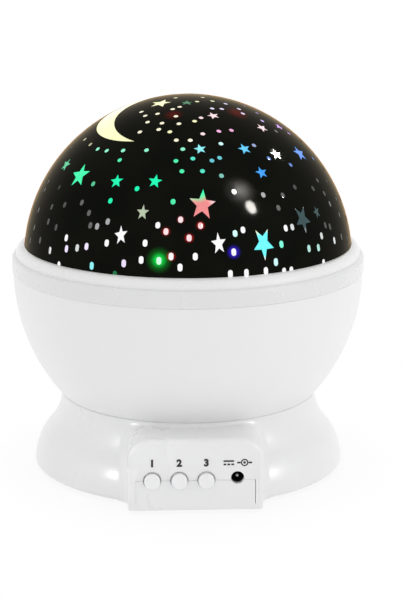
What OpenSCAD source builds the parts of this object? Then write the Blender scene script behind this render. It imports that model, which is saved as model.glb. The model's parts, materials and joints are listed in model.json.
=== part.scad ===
// Star night light projector: a flared base with a control pod, a bowl that a
// geared motor turns, and a lift-off dome whose black mask is pierced with
// stars, a moon and pinholes. Millimetres, +Z up, origin on the table under
// the axis of the bowl, control pod towards -Y.

/* [Heights] */
// Height of the rubber feet under the base
foot_h = 1.5; // [1:0.1:3]
// Height of the base housing, from its lower edge to the top of its neck
base_h = 26.9; // [26.5:0.1:30]
// Gap between the neck and the turning bowl
seam_gap = 0.3; // [0.25:0.05:0.7]
// Height of the bowl, from the seam to the rim ring
bowl_h = 45.7; // [42:0.1:50]
// Height of the rim ring
rim_h = 6.3; // [5.8:0.1:8]
// Height of the dome collar above the rim ring
collar_h = 3.6; // [3.4:0.1:4.5]
// Depth of the dome's centre below the top of the rim ring
dome_drop = 2.8; // [2:0.1:4]

/* [Widths] */
// Outside diameter of the rim ring
rim_d = 130; // [126:1:136]
// Outside diameter of the base at the table
base_d = 115.6; // [114:0.2:118]
// Outside diameter of the neck and of the bowl's foot
neck_d = 95; // [94:0.5:97]
// Step from the rim ring in to the bowl's mouth
rim_step = 0.4; // [0.3:0.1:1]

/* [Walls] */
// Wall of the base housing
base_wall = 2.2; // [1.8:0.1:2.6]
// Wall of the neck above the deck
neck_wall = 2; // [1.6:0.1:2.2]
// Thickness of the base plate
plate_t = 2; // [1.8:0.1:2.4]
// Thickness of the deck under the bowl
deck_t = 2; // [1.8:0.1:2.4]
// Depth of the deck below the top of the neck
deck_drop = 6.4; // [6.2:0.1:7]
// Wall of the bowl
bowl_wall = 1.8; // [1.5:0.1:2.2]
// Thickness of the bowl's floor
floor_t = 2.4; // [2.1:0.1:3]
// Wall of the rim ring round the bowl's lip
rim_wall = 1.8; // [1.5:0.1:2.2]
// Thickness of the rim ring's flange over the lip
rim_flange_t = 1.9; // [1.5:0.1:2.4]
// Rounding of the rim ring's upper edge
rim_round = 1.3; // [0.8:0.1:1.6]
// Thickness of the clear dome
clear_t = 1.2; // [1:0.1:1.6]
// Thickness of the black mask on the dome
mask_t = 0.4; // [0.3:0.05:0.6]
// Rounding of the base's lower edge
foot_round = 1; // [0.5:0.1:1.5]

/* [Fits] */
// Gap between the dome's spigot and the bowl's lip
spigot_gap = 0.3; // [0.25:0.05:0.5]
// Gap round a cover that drops into an opening
cover_gap = 0.2; // [0.15:0.05:0.3]
// Clearance of a sliding or turning fit, on the radius
running_gap = 0.05; // [0.03:0.01:0.08]
// Gap between the mask and the clear dome
mask_gap = 0.05; // [0.02:0.01:0.1]

/* [Control pod] */
// Width of the control pod
pod_w = 47.4; // [46:0.2:50]
// Distance from the axis to the pod's front face
pod_reach = 62; // [61:0.2:62.8]
// Height of the pod's top above the housing's lower edge
pod_h = 25.6; // [24.6:0.2:26.2]
// Radius of the pod's top corners
pod_corner = 7.5; // [4:0.5:9]
// Rounding of the pod's front edges
pod_edge = 1.8; // [0.6:0.1:2]
// Wall of the pod
pod_wall = 2; // [1.6:0.1:2.2]
// Width of the base plate's front tongue
tongue_w = 41.6; // [40.6:0.2:42.4]
// Height of the button row above the housing's lower edge
button_row = 10.9; // [10.5:0.1:11.5]
// Place of the first button across the pod
first_button_x = -15.2; // [-15.6:0.1:-14.6]
// Distance from one button to the next
button_pitch = 9.45; // [9.2:0.05:9.6]
// Diameter of a button
button_d = 5.7; // [5:0.1:6]
// Gap round a button
button_gap = 0.3; // [0.2:0.05:0.4]
// How far a button stands out of the pod
button_out = 2; // [1.6:0.1:2.4]
// Travel of a button
button_travel = 1.2; // [0.8:0.1:1.3]
// Distance from the pod's side to the middle of the power inlet
jack_side = 9.1; // [8.5:0.1:9.7]
// Height of the power inlet above the button row
jack_rise = 0.8; // [0.4:0.1:1.2]
// Diameter of the power inlet's hole
jack_hole_d = 4.6; // [4.2:0.1:5]
// Diameter of the power inlet's centre pin
jack_pin_d = 1.3; // [1:0.1:1.6]

/* [Turntable drive] */
// Module of the gears
gear_module = 1; // [1:0.01:1.02]
// Teeth of the drive gear under the bowl
gear_teeth = 54; // [52:2:54]
// Teeth of the pinion on the motor
pinion_teeth = 14; // [14:1:14]
// Face width of the gears
gear_w = 3.5; // [3:0.1:3.8]
// Play between the teeth, along the pitch circle
backlash = 0.2; // [0.15:0.05:0.3]
// Outside diameter of the lamp post
post_d = 16; // [15:0.5:17]
// Bore of the lamp post
post_bore = 12; // [11:0.5:12.5]
// Wall of the hub bush
bush_wall = 1.75; // [1.5:0.05:2]
// Thickness of the thrust washer
washer_t = 0.5; // [0.4:0.05:0.6]
// Diameter of the gear motor
motor_d = 24; // [22:0.5:24]
// Height of the gear motor
motor_h = 11.5; // [10:0.5:12]
// Diameter of the motor shaft
shaft_d = 3; // [2.5:0.1:3.5]

/* [Lamp] */
// Height of the lamp post above the deck
post_h = 44; // [40:1:46]
// Diameter of the lamp head
head_d = 44; // [40:1:46]
// Height of the cone under the lamp head
head_rise = 5; // [4:0.5:6]
// Distance from the axis to each lamp
led_ring = 13; // [11:0.5:14]
// Diameter of a lamp
led_d = 5; // [4.8:0.1:5.2]
// Height of a lamp above its board
led_h = 8.6; // [7.6:0.2:9]
// Thickness of a circuit board
board_t = 1.6; // [1.2:0.1:1.8]

/* [Batteries] */
// Diameter of a cell
cell_d = 10.5; // [10.3:0.1:10.5]
// Length of a cell with its button
cell_l = 44.5; // [44:0.1:45]
// Number of cells side by side
cell_count = 4; // [2:2:4]
// Gap between cells
cell_gap = 0.3; // [0.2:0.05:0.4]
// Length of a contact spring
spring_l = 4.4; // [4:0.1:4.8]
// Middle of the battery bay along Y
bay_y = -3.5; // [-4:0.1:-3]
// Wall of the battery bay
bay_wall = 1.2; // [1:0.1:1.4]
// Thickness of the battery door
door_t = 1.8; // [1.6:0.05:1.85]

/* [Sky pattern] */
// Diameter of a pinhole
pinhole_d = 1.7; // [1.4:0.1:2]
// Upright stretch of the pattern at the dome's foot
stretch = 0.75; // [0:0.05:1]
// Elevation above which the pattern isn't stretched
stretch_top = 42; // [30:1:60]
// Waist of a star as a share of its tip radius
star_waist = 0.42; // [0.36:0.02:0.5]
// Times that the pattern repeats round the dome
sky_repeats = 2; // [1:1:2]

/* [Hidden] */
$fn = 96;
eps = 0.01;

// Heights of the stack, from the table up
base_z = foot_h;
plate_top = base_z + plate_t;
neck_z = base_z + base_h;
deck_z = neck_z - deck_drop;
bowl_z = neck_z + seam_gap;
rim_z = bowl_z + bowl_h;
rim_top = rim_z + rim_h;
dome_z = rim_top - dome_drop;
lip_top = rim_top - rim_flange_t;
seat_z = rim_top - 1.4;
spigot_z = rim_top - 4.4;
collar_top = rim_top + collar_h;

// Radii
rim_r = rim_d / 2;
base_r = base_d / 2;
neck_r = neck_d / 2;
neck_in_r = neck_r - neck_wall;
mouth_r = rim_r - rim_step;
lip_r = rim_r - rim_wall;
lip_in_r = lip_r - bowl_wall;
spigot_r = lip_in_r - spigot_gap;
collar_skin = 0.35;
dome_r = spigot_r - collar_skin - mask_gap;
clear_r = dome_r - mask_t - mask_gap;
clear_in_r = clear_r - clear_t;
collar_r = rim_r - rim_round - 0.1;

// The flare is two tangent arcs of one radius: hollow above, full below
flare_w = base_r - neck_r;
flare_r = (pow(base_h, 2) + pow(flare_w, 2)) / (4 * flare_w);
hollow_c = [neck_r + flare_r, neck_z];
full_c = [base_r - flare_r, base_z];

// The bowl is one arc, level with the rim ring, through its mouth and its foot
bowl_c = (pow(mouth_r, 2) - pow(neck_r, 2) - pow(bowl_h, 2)) / (2 * (mouth_r - neck_r));
bowl_r = mouth_r - bowl_c;
floor_z = bowl_z - 1.5;
floor_top = floor_z + floor_t;
plug_gap = 0.5;

// Turntable drive
pressure = 20;
addendum = 0.8 * gear_module;
dedendum = 1.05 * gear_module;
gear_pitch_r = gear_module * gear_teeth / 2;
pinion_pitch_r = gear_module * pinion_teeth / 2;
motor_y = gear_pitch_r + pinion_pitch_r;
post_r = post_d / 2;
bush_in_r = post_r + running_gap;
bush_r = bush_in_r + bush_wall;
washer_r = bush_r + 2.7;
gear_z = deck_z + washer_t;
hub_boss_z = floor_top + 0.8;
hub_boss_r = bush_r + 5.2;
bush_top = hub_boss_z + 0.8;
clip_z = bush_top + 0.1;
clip_t = 1.2;
clip_depth = 0.8;
gear_screw_ring = hub_boss_r + 3.5;
gear_boss_r = gear_screw_ring + 4;
pinion_z = gear_z + 0.1;
motor_top = deck_z - deck_t;
motor_ear_x = motor_d / 2 + 3;
motor_ear_t = 1.4;
shaft_in = 0.6 * motor_h;

// Post foot and lamp head
foot_flange_t = 2;
foot_flange_r = post_r + 5;
post_screw_ring = post_r + 2.5;
post_top = deck_z + post_h;
head_r = head_d / 2;
head_wall = 1.2;
led_board_z = post_top + head_rise;
led_board_r = head_r - head_wall - 0.2;
led_z = led_board_z + board_t;
head_plug_l = 10;
wire_hole_r = 3;

// Control pod
pod_y = -pod_reach;
pod_z = base_z + pod_h;
button_z = base_z + button_row;
jack_x = pod_w / 2 - jack_side;
jack_z = button_z + jack_rise;
button_r = button_d / 2;
button_hole_r = button_r + button_gap;
jack_hole_r = jack_hole_d / 2;
button_xs = [for (i = [0:2]) first_button_x + i * button_pitch];
wall_in_y = pod_y + pod_wall;
flange_r = button_r + 1.1;
flange_y = wall_in_y + 0.1;
flange_t = 1;
flange_back = flange_y + flange_t;
switch_y = flange_back + button_travel + 0.7;
switch_l = 8;
switch_w = 8;
plunger_r = 1.2;
plunger_front = pod_y + 0.5;
plunger_back = switch_y + 5;
control_z = plate_top + 3.5;
control_top = control_z + board_t;
control_w = pod_w - 2 * pod_wall - 1.4;
control_front = flange_back + button_travel + 0.4;
control_back = -41;
standoff_x = control_w / 2 - 4;
standoff_y = -45;
pod_back = -40;
plate_front_back = -48;
tongue_top = button_z - cover_gap / 2;

// Battery bay and its door
contact_t = 0.8;
spring_plate_t = 0.3;
bay_x = (cell_l + spring_l + spring_plate_t + contact_t) / 2;
bay_half_y = (cell_count * cell_d + (cell_count + 1) * cell_gap) / 2;
cell_z = base_z + door_t + 0.1 + cell_d / 2;
bay_roof_z = cell_z + cell_d / 2 + cell_gap;
bay_flange_w = 4;
bay_flange_t = 1.2;
door_x = bay_x + 2;
door_front = bay_y - bay_half_y - 2;
hinge_r = 1.2;
hinge_pin_r = 0.7;
hinge_pin_l = 1.8;
hinge_z = base_z + hinge_r;
hinge_y = bay_y + bay_half_y + 1.6 + hinge_r;
door_tab_r = 4;
door_screw_y = door_front - 1;
cell_pitch = cell_d + cell_gap;
cell_end_x = bay_x - contact_t;

// Screws: [radius of the shank, radius of the head, height of the head]
case_screw = [1.3, 2.7, 1.2];
small_screw = [1.25, 2.3, 1.2];
case_screw_ring = 45.5;
case_screw_l = 10;
case_boss_r = 2.9;
foot_ring = 48;
foot_r = 4.5;
foot_sink = 0.5;

// Stars as [azimuth, elevation, tip radius, turn]. Azimuth runs from the front
// of the dome towards +X, and elevation up from its centre.
STARS = [
    [-54, 37, 4.6, 12],
    [-33, 37, 2.6, 10],
    [-16, 38, 2.6, -5],
    [4, 51, 2.4, 10],
    [3, 30, 4.7, -7],
    [-19, 27, 2.3, 0],
    [-26, 19, 2.5, 10],
    [-48, 77, 4.4, 20],
    [-4, 79, 2.8, 0],
    [21, 68, 2.5, 8],
    [53, 58, 2.6, 0],
    [74, 56, 2.6, 14],
    [28, 50, 2.6, 6],
    [31, 40, 2.5, 4],
    [64, 44, 3.8, -12],
    [45, 46, 2.8, -10],
    [24, 16, 4.1, 180],
    [8, 17, 2.7, 4],
    [43, 22, 3.9, 180],
    [52, 23, 2.1, 10],
    [-70, 39, 3, 0]
];

// Pinholes in rows, each as [elevation, [azimuths]]
PINHOLE_ROWS = [
    [84, [-46, 56]],
    [80, [16]],
    [79, [48]],
    [75, [-13, 58]],
    [73, [-20, 27]],
    [72, [38]],
    [70, [60, 82]],
    [69, [-52, -32]],
    [68, [-13]],
    [67, [-42, 9, 54]],
    [65, [3, 75]],
    [63.5, [-34, -22, -9]],
    [61, [63]],
    [60, [-22]],
    [59, [-14, 18, 27]],
    [58, [-34, 7]],
    [55, [-9, -1, 63, 84]],
    [53, [16]],
    [52, [76]],
    [51, [-5, 35]],
    [50, [-74, -24]],
    [49, [-63, -37]],
    [48, [-54, -47]],
    [47, [0, 13, 83]],
    [46, [-8, 9]],
    [45, [-82, -36, 39]],
    [42, [-5, 4]],
    [41, [50]],
    [40, [12, 75]],
    [35, [-44, -23, 80]],
    [34, [16]],
    [33, [45, 63]],
    [32, [28]],
    [31, [-78, -64, -8, 37, 56, 73]],
    [30, [-33]],
    [28, [-77, -46, 63]],
    [27, [33]],
    [26, [-55]],
    [25, [-41, -5]],
    [24, [-63, 64, 74]],
    [23, [-32, -13, 2, 82]],
    [21, [-82, -74, -39, -36, -10, 17]],
    [20, [14, 34, 37]],
    [19, [-62, -2, 70]],
    [18, [-56, 55]],
    [17, [-17, 58]],
    [16, [-31, 79]],
    [15.5, [-49]],
    [15, [-73, 31, 51]],
    [14, [-39, 13]],
    [13, [-43, -8, 0]],
    [12, [-65, -48, 43, 59, 66, 88]],
    [11.5, [-18, -12, 48]],
    [10, [-75, -57, -24, 73]],
    [9.5, [-5, 28]],
    [8, [-84, -36]],
    [7, [11.5, 17, 24]],
    [6, [-51, -27, 31, 34, 50]]
];

// The moon as [azimuth, elevation, radius], and the circle that hollows it.
// It is cut once, and the repeats of the pattern leave room for it.
MOON = [-47, 75, 23];
MOON_CUT = [7.6, 0.5, 21.8];

// ---------------------------------------------------------------- helpers

function polar(r, a) = [r * cos(a), r * sin(a)];

// A tube between two heights
module ring(r_out, r_in, z0, z1) {
    translate([0, 0, z0])
        difference() {
            cylinder(r = r_out, h = z1 - z0);
            translate([0, 0, -1]) cylinder(r = r_in, h = z1 - z0 + 2);
        }
}

// A round bar or hole along Y, from y0 to y1
module bar_y(x, z, r, y0, y1) {
    translate([x, y0, z]) rotate([-90, 0, 0]) cylinder(r = r, h = y1 - y0);
}

// A round bar or hole along X, from x0 to x1
module bar_x(y, z, r, x0, x1) {
    translate([x0, y, z]) rotate([0, 90, 0]) cylinder(r = r, h = x1 - x0);
}

// A block given by its two corners
module block(low, high) {
    translate(low) cube(high - low);
}

// A screw that points up, with its head's lower face at z = 0
module screw(size, length) {
    difference() {
        union() {
            cylinder(r = size[1], h = size[2]);
            cylinder(r = size[0], h = size[2] + length);
        }
        for (turn = [0, 90])
            rotate([0, 0, turn])
                translate([-size[1] * 0.6, -0.3, -eps])
                    cube([size[1] * 1.2, 0.6, 0.6]);
    }
}

// Copies round the axis, turned by a start angle
module round_copies(count, r, start = 0) {
    for (i = [0:count - 1])
        rotate([0, 0, start + i * 360 / count])
            translate([r, 0, 0])
                children();
}

// ------------------------------------------------------------------- base

// Section of the flare, taken in by inset all along its outside
module flare_2d(inset) {
    join = hollow_c + (full_c - hollow_c) * (flare_r + inset) / (2 * flare_r);
    intersection() {
        translate(full_c) circle(r = flare_r - inset);
        translate([0, base_z]) square([base_r, join[1] - base_z]);
    }
    translate([0, base_z]) square([full_c[0], join[1] - base_z]);
    difference() {
        translate([0, join[1]]) square([join[0], neck_z - join[1]]);
        translate(hollow_c) circle(r = flare_r + inset);
    }
}

module flare_solid() {
    rotate_extrude()
        difference() {
            flare_2d(0);
            translate([base_r - foot_round, base_z - eps])
                difference() {
                    square(foot_round + eps);
                    translate([0, foot_round + eps]) circle(r = foot_round);
                }
        }
}

// Room under the deck, open to the base plate
module base_room() {
    rotate_extrude() {
        intersection() {
            flare_2d(base_wall);
            translate([0, base_z]) square([base_r, motor_top - base_z]);
        }
        translate([0, base_z - 1]) square([base_r - base_wall, 1]);
    }
}

// Front view of the pod, taken in by inset at its sides and top
module pod_2d(inset) {
    half = pod_w / 2 - inset;
    corner = max(pod_corner - inset, 1);
    top = pod_h - inset;
    translate([-half, 0]) square([2 * half, top - corner]);
    translate([corner - half, 0]) square([2 * (half - corner), top]);
    for (side = [-1, 1])
        translate([side * (half - corner), top - corner]) circle(r = corner, $fn = 48);
}

module pod_slab(inset, y, thickness) {
    translate([0, y + thickness, base_z])
        rotate([90, 0, 0])
            linear_extrude(height = thickness) pod_2d(inset);
}

// The pod's outside, with its front edges rounded
module pod_solid() {
    steps = 4;
    hull() {
        pod_slab(0, pod_y + pod_edge, pod_back - pod_y - pod_edge);
        for (i = [0:steps - 1]) {
            turn = 90 * i / steps;
            pod_slab(pod_edge * (1 - sin(turn)), pod_y + pod_edge * (1 - cos(turn)), eps);
        }
    }
}

// Room inside the pod, which stays out of the neck above the deck
module pod_room() {
    half = pod_w / 2 - pod_wall;
    difference() {
        pod_slab(pod_wall, wall_in_y, pod_back - wall_in_y);
        translate([0, 0, motor_top]) cylinder(r = neck_r + 1.4, h = base_h);
    }
    block([-half, wall_in_y, base_z - 1], [half, pod_back, base_z + eps]);
}

// Holes of the three buttons, through the pod's front wall
module button_holes() {
    for (x = button_xs)
        bar_y(x, button_z, button_hole_r, pod_y - 1, wall_in_y + eps);
}

module jack_hole() {
    bar_y(jack_x, jack_z, jack_hole_r, pod_y - 1, wall_in_y + eps);
}

module base_housing() {
    color("white") {
        difference() {
            union() {
                flare_solid();
                pod_solid();
            }
            base_room();
            pod_room();
            translate([0, 0, deck_z]) cylinder(r = neck_in_r, h = deck_drop + 1);
            // Opening for the plate's front edge and its tongue
            block([-pod_w / 2 - cover_gap, pod_y - 1, base_z - 1],
                  [pod_w / 2 + cover_gap, plate_front_back + cover_gap, plate_top]);
            block([-tongue_w / 2 - cover_gap, pod_y - 1, base_z - 1],
                  [tongue_w / 2 + cover_gap, wall_in_y + eps, button_z]);
            button_holes();
            jack_hole();
            // Holes in the deck for the lamp post, its screws and the motor shaft
            translate([0, 0, motor_top - 1]) cylinder(r = post_r, h = deck_t + 2);
            round_copies(3, post_screw_ring, 90)
                translate([0, 0, motor_top - 1]) cylinder(r = small_screw[0], h = deck_t + 0.8);
            translate([0, motor_y, motor_top - 1]) cylinder(r = shaft_d / 2 + 1.5, h = deck_t + 2);
            for (side = [-1, 1])
                translate([side * motor_ear_x, motor_y, motor_top - 1])
                    cylinder(r = small_screw[0], h = deck_t + 0.8);
        }
        case_bosses();
    }
}

// Posts that hang from the deck and take the case screws
module case_bosses() {
    round_copies(4, case_screw_ring, 45)
        ring(case_boss_r, case_screw[0], plate_top, motor_top + eps);
}

module base_plate() {
    color("whitesmoke") {
        difference() {
            union() {
                plate_sheet();
                bay_box();
                door_boss();
            }
            door_cutout();
            case_screw_holes();
            foot_recesses();
        }
        plate_tongue();
        board_standoffs();
    }
}

// Sheet that closes the base, with the pod's footprint at its front
module plate_sheet() {
    translate([0, 0, base_z])
        cylinder(r = base_r - base_wall - cover_gap, h = plate_t);
    translate([0, 0, base_z])
        linear_extrude(height = plate_t) {
            translate([-pod_w / 2, pod_y + pod_edge])
                square([pod_w, plate_front_back - pod_y - pod_edge]);
            translate([-pod_w / 2 + pod_edge, pod_y])
                square([pod_w - 2 * pod_edge, plate_front_back - pod_y]);
            for (side = [-1, 1])
                translate([side * (pod_w / 2 - pod_edge), pod_y + pod_edge])
                    circle(r = pod_edge, $fn = 48);
        }
}

// Tongue that closes the lower half of the pod's front
module plate_tongue() {
    difference() {
        block([-tongue_w / 2, pod_y, plate_top - eps], [tongue_w / 2, wall_in_y, tongue_top]);
        button_holes();
        jack_hole();
    }
}

// Pegs that carry the control board
module board_standoffs() {
    for (side = [-1, 1])
        translate([side * standoff_x, standoff_y, plate_top - eps]) {
            cylinder(r = 2.5, h = control_z - plate_top + eps);
            cylinder(r = 1, h = control_top - plate_top + 0.8);
        }
}

// Walls, roof and flange of the battery bay
module bay_box() {
    difference() {
        union() {
            block([-bay_x - bay_wall, bay_y - bay_half_y - bay_wall, plate_top - eps],
                  [bay_x + bay_wall, bay_y + bay_half_y + bay_wall, bay_roof_z + bay_wall]);
            block([-door_x - bay_flange_w, door_front - 1.5, plate_top - eps],
                  [door_x + bay_flange_w, hinge_y + 2.8, plate_top + bay_flange_t]);
        }
        block([-bay_x, bay_y - bay_half_y, base_z - 1], [bay_x, bay_y + bay_half_y, bay_roof_z]);
    }
}

// Boss that the door's screw enters
module door_boss() {
    translate([0, door_screw_y, plate_top - eps]) {
        cylinder(r = 3, h = 6.5);
        cylinder(r = door_tab_r + 1.5, h = bay_flange_t + eps);
    }
}

// Outline of the battery door, grown by a gap
module door_2d(gap) {
    translate([-door_x - gap, door_front - gap])
        square([2 * (door_x + gap), hinge_y - door_front + gap]);
    translate([0, door_screw_y]) circle(r = door_tab_r + gap);
}

// What the battery door needs out of the plate
module door_cutout() {
    translate([0, 0, base_z - 1])
        linear_extrude(height = plate_t + 1) door_2d(cover_gap);
    bar_x(hinge_y, hinge_z, hinge_r + cover_gap, -door_x - cover_gap, door_x + cover_gap);
    block([-door_x - cover_gap, hinge_y - eps, base_z - 1],
          [door_x + cover_gap, hinge_y + hinge_r + cover_gap, hinge_z]);
    bar_x(hinge_y, hinge_z, hinge_pin_r + running_gap,
          -door_x - hinge_pin_l - 0.3, door_x + hinge_pin_l + 0.3);
    translate([0, door_screw_y, base_z]) cylinder(r = small_screw[0] + 0.45, h = 7);
}

module case_screw_holes() {
    round_copies(4, case_screw_ring, 45) {
        translate([0, 0, base_z - 1]) cylinder(r = case_screw[0], h = plate_t + 2);
        translate([0, 0, base_z - 1]) cylinder(r = case_screw[1], h = case_screw[2] + 1);
    }
}

module foot_recesses() {
    round_copies(4, foot_ring)
        translate([0, 0, base_z - 1]) cylinder(r = foot_r, h = foot_sink + 1);
}

module rubber_feet() {
    color("gray")
        round_copies(4, foot_ring)
            rotate_extrude()
                difference() {
                    square([foot_r, foot_h + foot_sink]);
                    translate([foot_r - 0.6, -eps])
                        difference() {
                            square(0.6 + eps);
                            translate([0, 0.6 + eps]) circle(r = 0.6);
                        }
                }
}

module case_screws() {
    color("silver")
        round_copies(4, case_screw_ring, 45)
            translate([0, 0, base_z]) screw(case_screw, case_screw_l);
}

// -------------------------------------------------------------- batteries

module battery_door() {
    color("whitesmoke")
        difference() {
            union() {
                translate([0, 0, base_z])
                    linear_extrude(height = door_t) door_2d(0);
                bar_x(hinge_y, hinge_z, hinge_r, -door_x, door_x);
                bar_x(hinge_y, hinge_z, hinge_pin_r,
                      -door_x - hinge_pin_l, door_x + hinge_pin_l);
            }
            translate([0, door_screw_y, base_z - 1])
                cylinder(r = small_screw[0], h = door_t + 2);
            translate([0, door_screw_y, base_z - 1])
                cylinder(r = small_screw[1], h = small_screw[2] + 1);
            // Finger grooves
            for (i = [-1:1])
                bar_x(door_front + 6 + i * 2.2, base_z - 0.3, 0.8, -8, 8);
        }
}

module door_screw() {
    color("silver")
        translate([0, door_screw_y, base_z]) screw(small_screw, 5.5);
}

// Places its children at each cell, with the plus end towards the child's +X
module cell_places() {
    for (i = [0:cell_count - 1]) {
        y = bay_y + (i - (cell_count - 1) / 2) * cell_pitch;
        translate([0, y, cell_z])
            rotate([0, 0, i % 2 == 0 ? 0 : 180])
                children();
    }
}

module battery_cells() {
    nub_l = 0.8;
    color("steelblue")
        cell_places()
            translate([cell_end_x - cell_l, 0, 0])
                rotate([0, 90, 0]) {
                    cylinder(r = cell_d / 2, h = cell_l - nub_l);
                    cylinder(r = 1.9, h = cell_l);
                }
}

module contact_plates() {
    half = cell_d / 2 - 0.75;
    color("silver")
        cell_places() {
            block([cell_end_x, -half, -half], [bay_x, half, half]);
            block([-bay_x, -half, -half], [-bay_x + spring_plate_t, half, half]);
        }
}

// Sweeps a ring of points along a path, as one closed tube
module tube(path, r, sides) {
    last = len(path) - 1;
    function along(i) = path[min(i + 1, last)] - path[max(i - 1, 0)];
    function unit(v) = v / norm(v);
    function across(d) = unit(cross(d, abs(d[0]) < 0.9 * norm(d) ? [1, 0, 0] : [0, 0, 1]));
    points = [for (i = [0:last]) for (k = [0:sides - 1])
        let (d = unit(along(i)), u = across(d), v = cross(d, u), a = 360 * k / sides)
        path[i] + r * (cos(a) * u + sin(a) * v)];
    sides_f = [for (i = [0:last - 1]) for (k = [0:sides - 1])
        let (n = (k + 1) % sides)
        [i * sides + k, (i + 1) * sides + k, (i + 1) * sides + n, i * sides + n]];
    caps = [
        [for (k = [0:sides - 1]) k],
        [for (k = [sides - 1:-1:0]) last * sides + k]
    ];
    polyhedron(points = points, faces = concat(caps, sides_f));
}

module contact_springs() {
    wire_r = 0.3;
    turns = 4;
    per_turn = 10;
    rise = spring_l - 2 * wire_r;
    path = [for (i = [0:turns * per_turn])
        let (share = i / (turns * per_turn))
        [wire_r + rise * share,
         (3.6 - 1.4 * share) * cos(360 * turns * share),
         (3.6 - 1.4 * share) * sin(360 * turns * share)]];
    color("silver")
        cell_places()
            translate([-bay_x + spring_plate_t, 0, 0]) tube(path, wire_r, 6);
}

// --------------------------------------------------------- control pod works

module control_board() {
    color("darkgreen")
        difference() {
            block([-control_w / 2, control_front, control_z],
                  [control_w / 2, control_back, control_top]);
            for (side = [-1, 1])
                translate([side * standoff_x, standoff_y, control_z - 1])
                    cylinder(r = 1 + running_gap, h = board_t + 2);
        }
}

module control_chip() {
    color("black")
        block([4, -47, control_top], [14, -43, control_top + 1.8]);
}

module switch_bodies() {
    color("dimgray")
        for (x = button_xs)
            difference() {
                block([x - switch_w / 2, switch_y, control_top],
                      [x + switch_w / 2, switch_y + switch_l, button_z + 3.5]);
                bar_y(x, button_z, plunger_r + running_gap,
                      switch_y - 1, plunger_back + button_travel + 0.3);
            }
}

// A button cap: a rounded face, a guide and a flange behind the wall
module button_cap(x) {
    tip_y = pod_y - button_out;
    round = 0.7;
    color("white")
        difference() {
            translate([x, tip_y, button_z])
                rotate([-90, 0, 0])
                    rotate_extrude() {
                        square([button_r - round, flange_y - tip_y]);
                        translate([0, round]) square([button_r, flange_y - tip_y - round]);
                        translate([button_r - round, round]) circle(r = round);
                        translate([0, flange_y - tip_y]) square([flange_r, flange_t]);
                    }
            bar_y(x, button_z, plunger_r, plunger_front, flange_back + 1);
        }
}

module plunger(x) {
    color("dimgray")
        bar_y(x, button_z, plunger_r, plunger_front, plunger_back);
}

module button_1() { button_cap(button_xs[0]); }
module button_2() { button_cap(button_xs[1]); }
module button_3() { button_cap(button_xs[2]); }
module plunger_1() { plunger(button_xs[0]); }
module plunger_2() { plunger(button_xs[1]); }
module plunger_3() { plunger(button_xs[2]); }

module dc_jack() {
    color("black")
        difference() {
            block([jack_x - 4.4, wall_in_y, control_top],
                  [jack_x + 4.4, wall_in_y + 12, jack_z + 4.4]);
            bar_y(jack_x, jack_z, jack_hole_r, wall_in_y - 1, wall_in_y + 10);
        }
}

module jack_pin() {
    color("silver") {
        bar_y(jack_x, jack_z, jack_pin_d / 2, wall_in_y + 0.7, wall_in_y + 10);
        translate([jack_x, wall_in_y + 0.7, jack_z]) sphere(r = jack_pin_d / 2, $fn = 48);
    }
}

// --------------------------------------------------------- turntable drive

function inv_angle(a) = tan(a) * 180 / PI - a;

// Half of a tooth's angle at radius r
function half_tooth(teeth, r) =
    let (pitch_r = gear_module * teeth / 2, base = pitch_r * cos(pressure))
    90 / teeth - backlash / 4 / pitch_r * 180 / PI
    + inv_angle(pressure) - inv_angle(acos(min(1, base / r)));

// Outline of a spur gear with involute teeth, one of them along +X
function gear_outline(teeth, steps) =
    let (
        pitch_r = gear_module * teeth / 2,
        root_r = pitch_r - dedendum,
        tip_r = pitch_r + addendum,
        start_r = max(root_r + eps, pitch_r * cos(pressure)),
        radii = [for (i = [0:steps]) start_r + (tip_r - start_r) * i / steps]
    )
    [for (t = [0:teeth - 1])
        let (c = 360 * t / teeth)
        each concat(
            [polar(root_r, c - half_tooth(teeth, start_r))],
            [for (r = radii) polar(r, c - half_tooth(teeth, r))],
            [for (i = [steps:-1:0]) polar(radii[i], c + half_tooth(teeth, radii[i]))],
            [polar(root_r, c + half_tooth(teeth, start_r))]
        )];

module gear_motor() {
    color("silver")
        difference() {
            union() {
                translate([0, motor_y, motor_top - motor_h])
                    rotate_extrude()
                        difference() {
                            square([motor_d / 2, motor_h]);
                            translate([motor_d / 2 - 1, -eps])
                                difference() {
                                    square(1 + eps);
                                    translate([0, 1 + eps]) circle(r = 1);
                                }
                        }
                block([-motor_ear_x, motor_y - 3, motor_top - motor_ear_t],
                      [motor_ear_x, motor_y + 3, motor_top]);
                for (side = [-1, 1])
                    translate([side * motor_ear_x, motor_y, motor_top - motor_ear_t])
                        cylinder(r = 3, h = motor_ear_t);
            }
            translate([0, motor_y, motor_top - shaft_in - 0.2])
                cylinder(r = shaft_d / 2 + running_gap, h = shaft_in + 1.2);
            for (side = [-1, 1])
                translate([side * motor_ear_x, motor_y, motor_top - 3])
                    cylinder(r = small_screw[0], h = 4);
        }
}

module motor_screws() {
    color("silver")
        for (side = [-1, 1])
            translate([side * motor_ear_x, motor_y,
                       motor_top - motor_ear_t - small_screw[2]])
                screw(small_screw, motor_ear_t + deck_t - 0.4);
}

module motor_shaft() {
    color("lightgray")
        translate([0, motor_y, motor_top - shaft_in])
            cylinder(r = shaft_d / 2, h = pinion_z + gear_w - motor_top + shaft_in);
}

module pinion() {
    color("ivory")
        translate([0, motor_y, pinion_z])
            rotate([0, 0, 180 / pinion_teeth])
                difference() {
                    linear_extrude(height = gear_w) polygon(gear_outline(pinion_teeth, 3));
                    translate([0, 0, -1]) cylinder(r = shaft_d / 2, h = gear_w + 2);
                }
}

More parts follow.
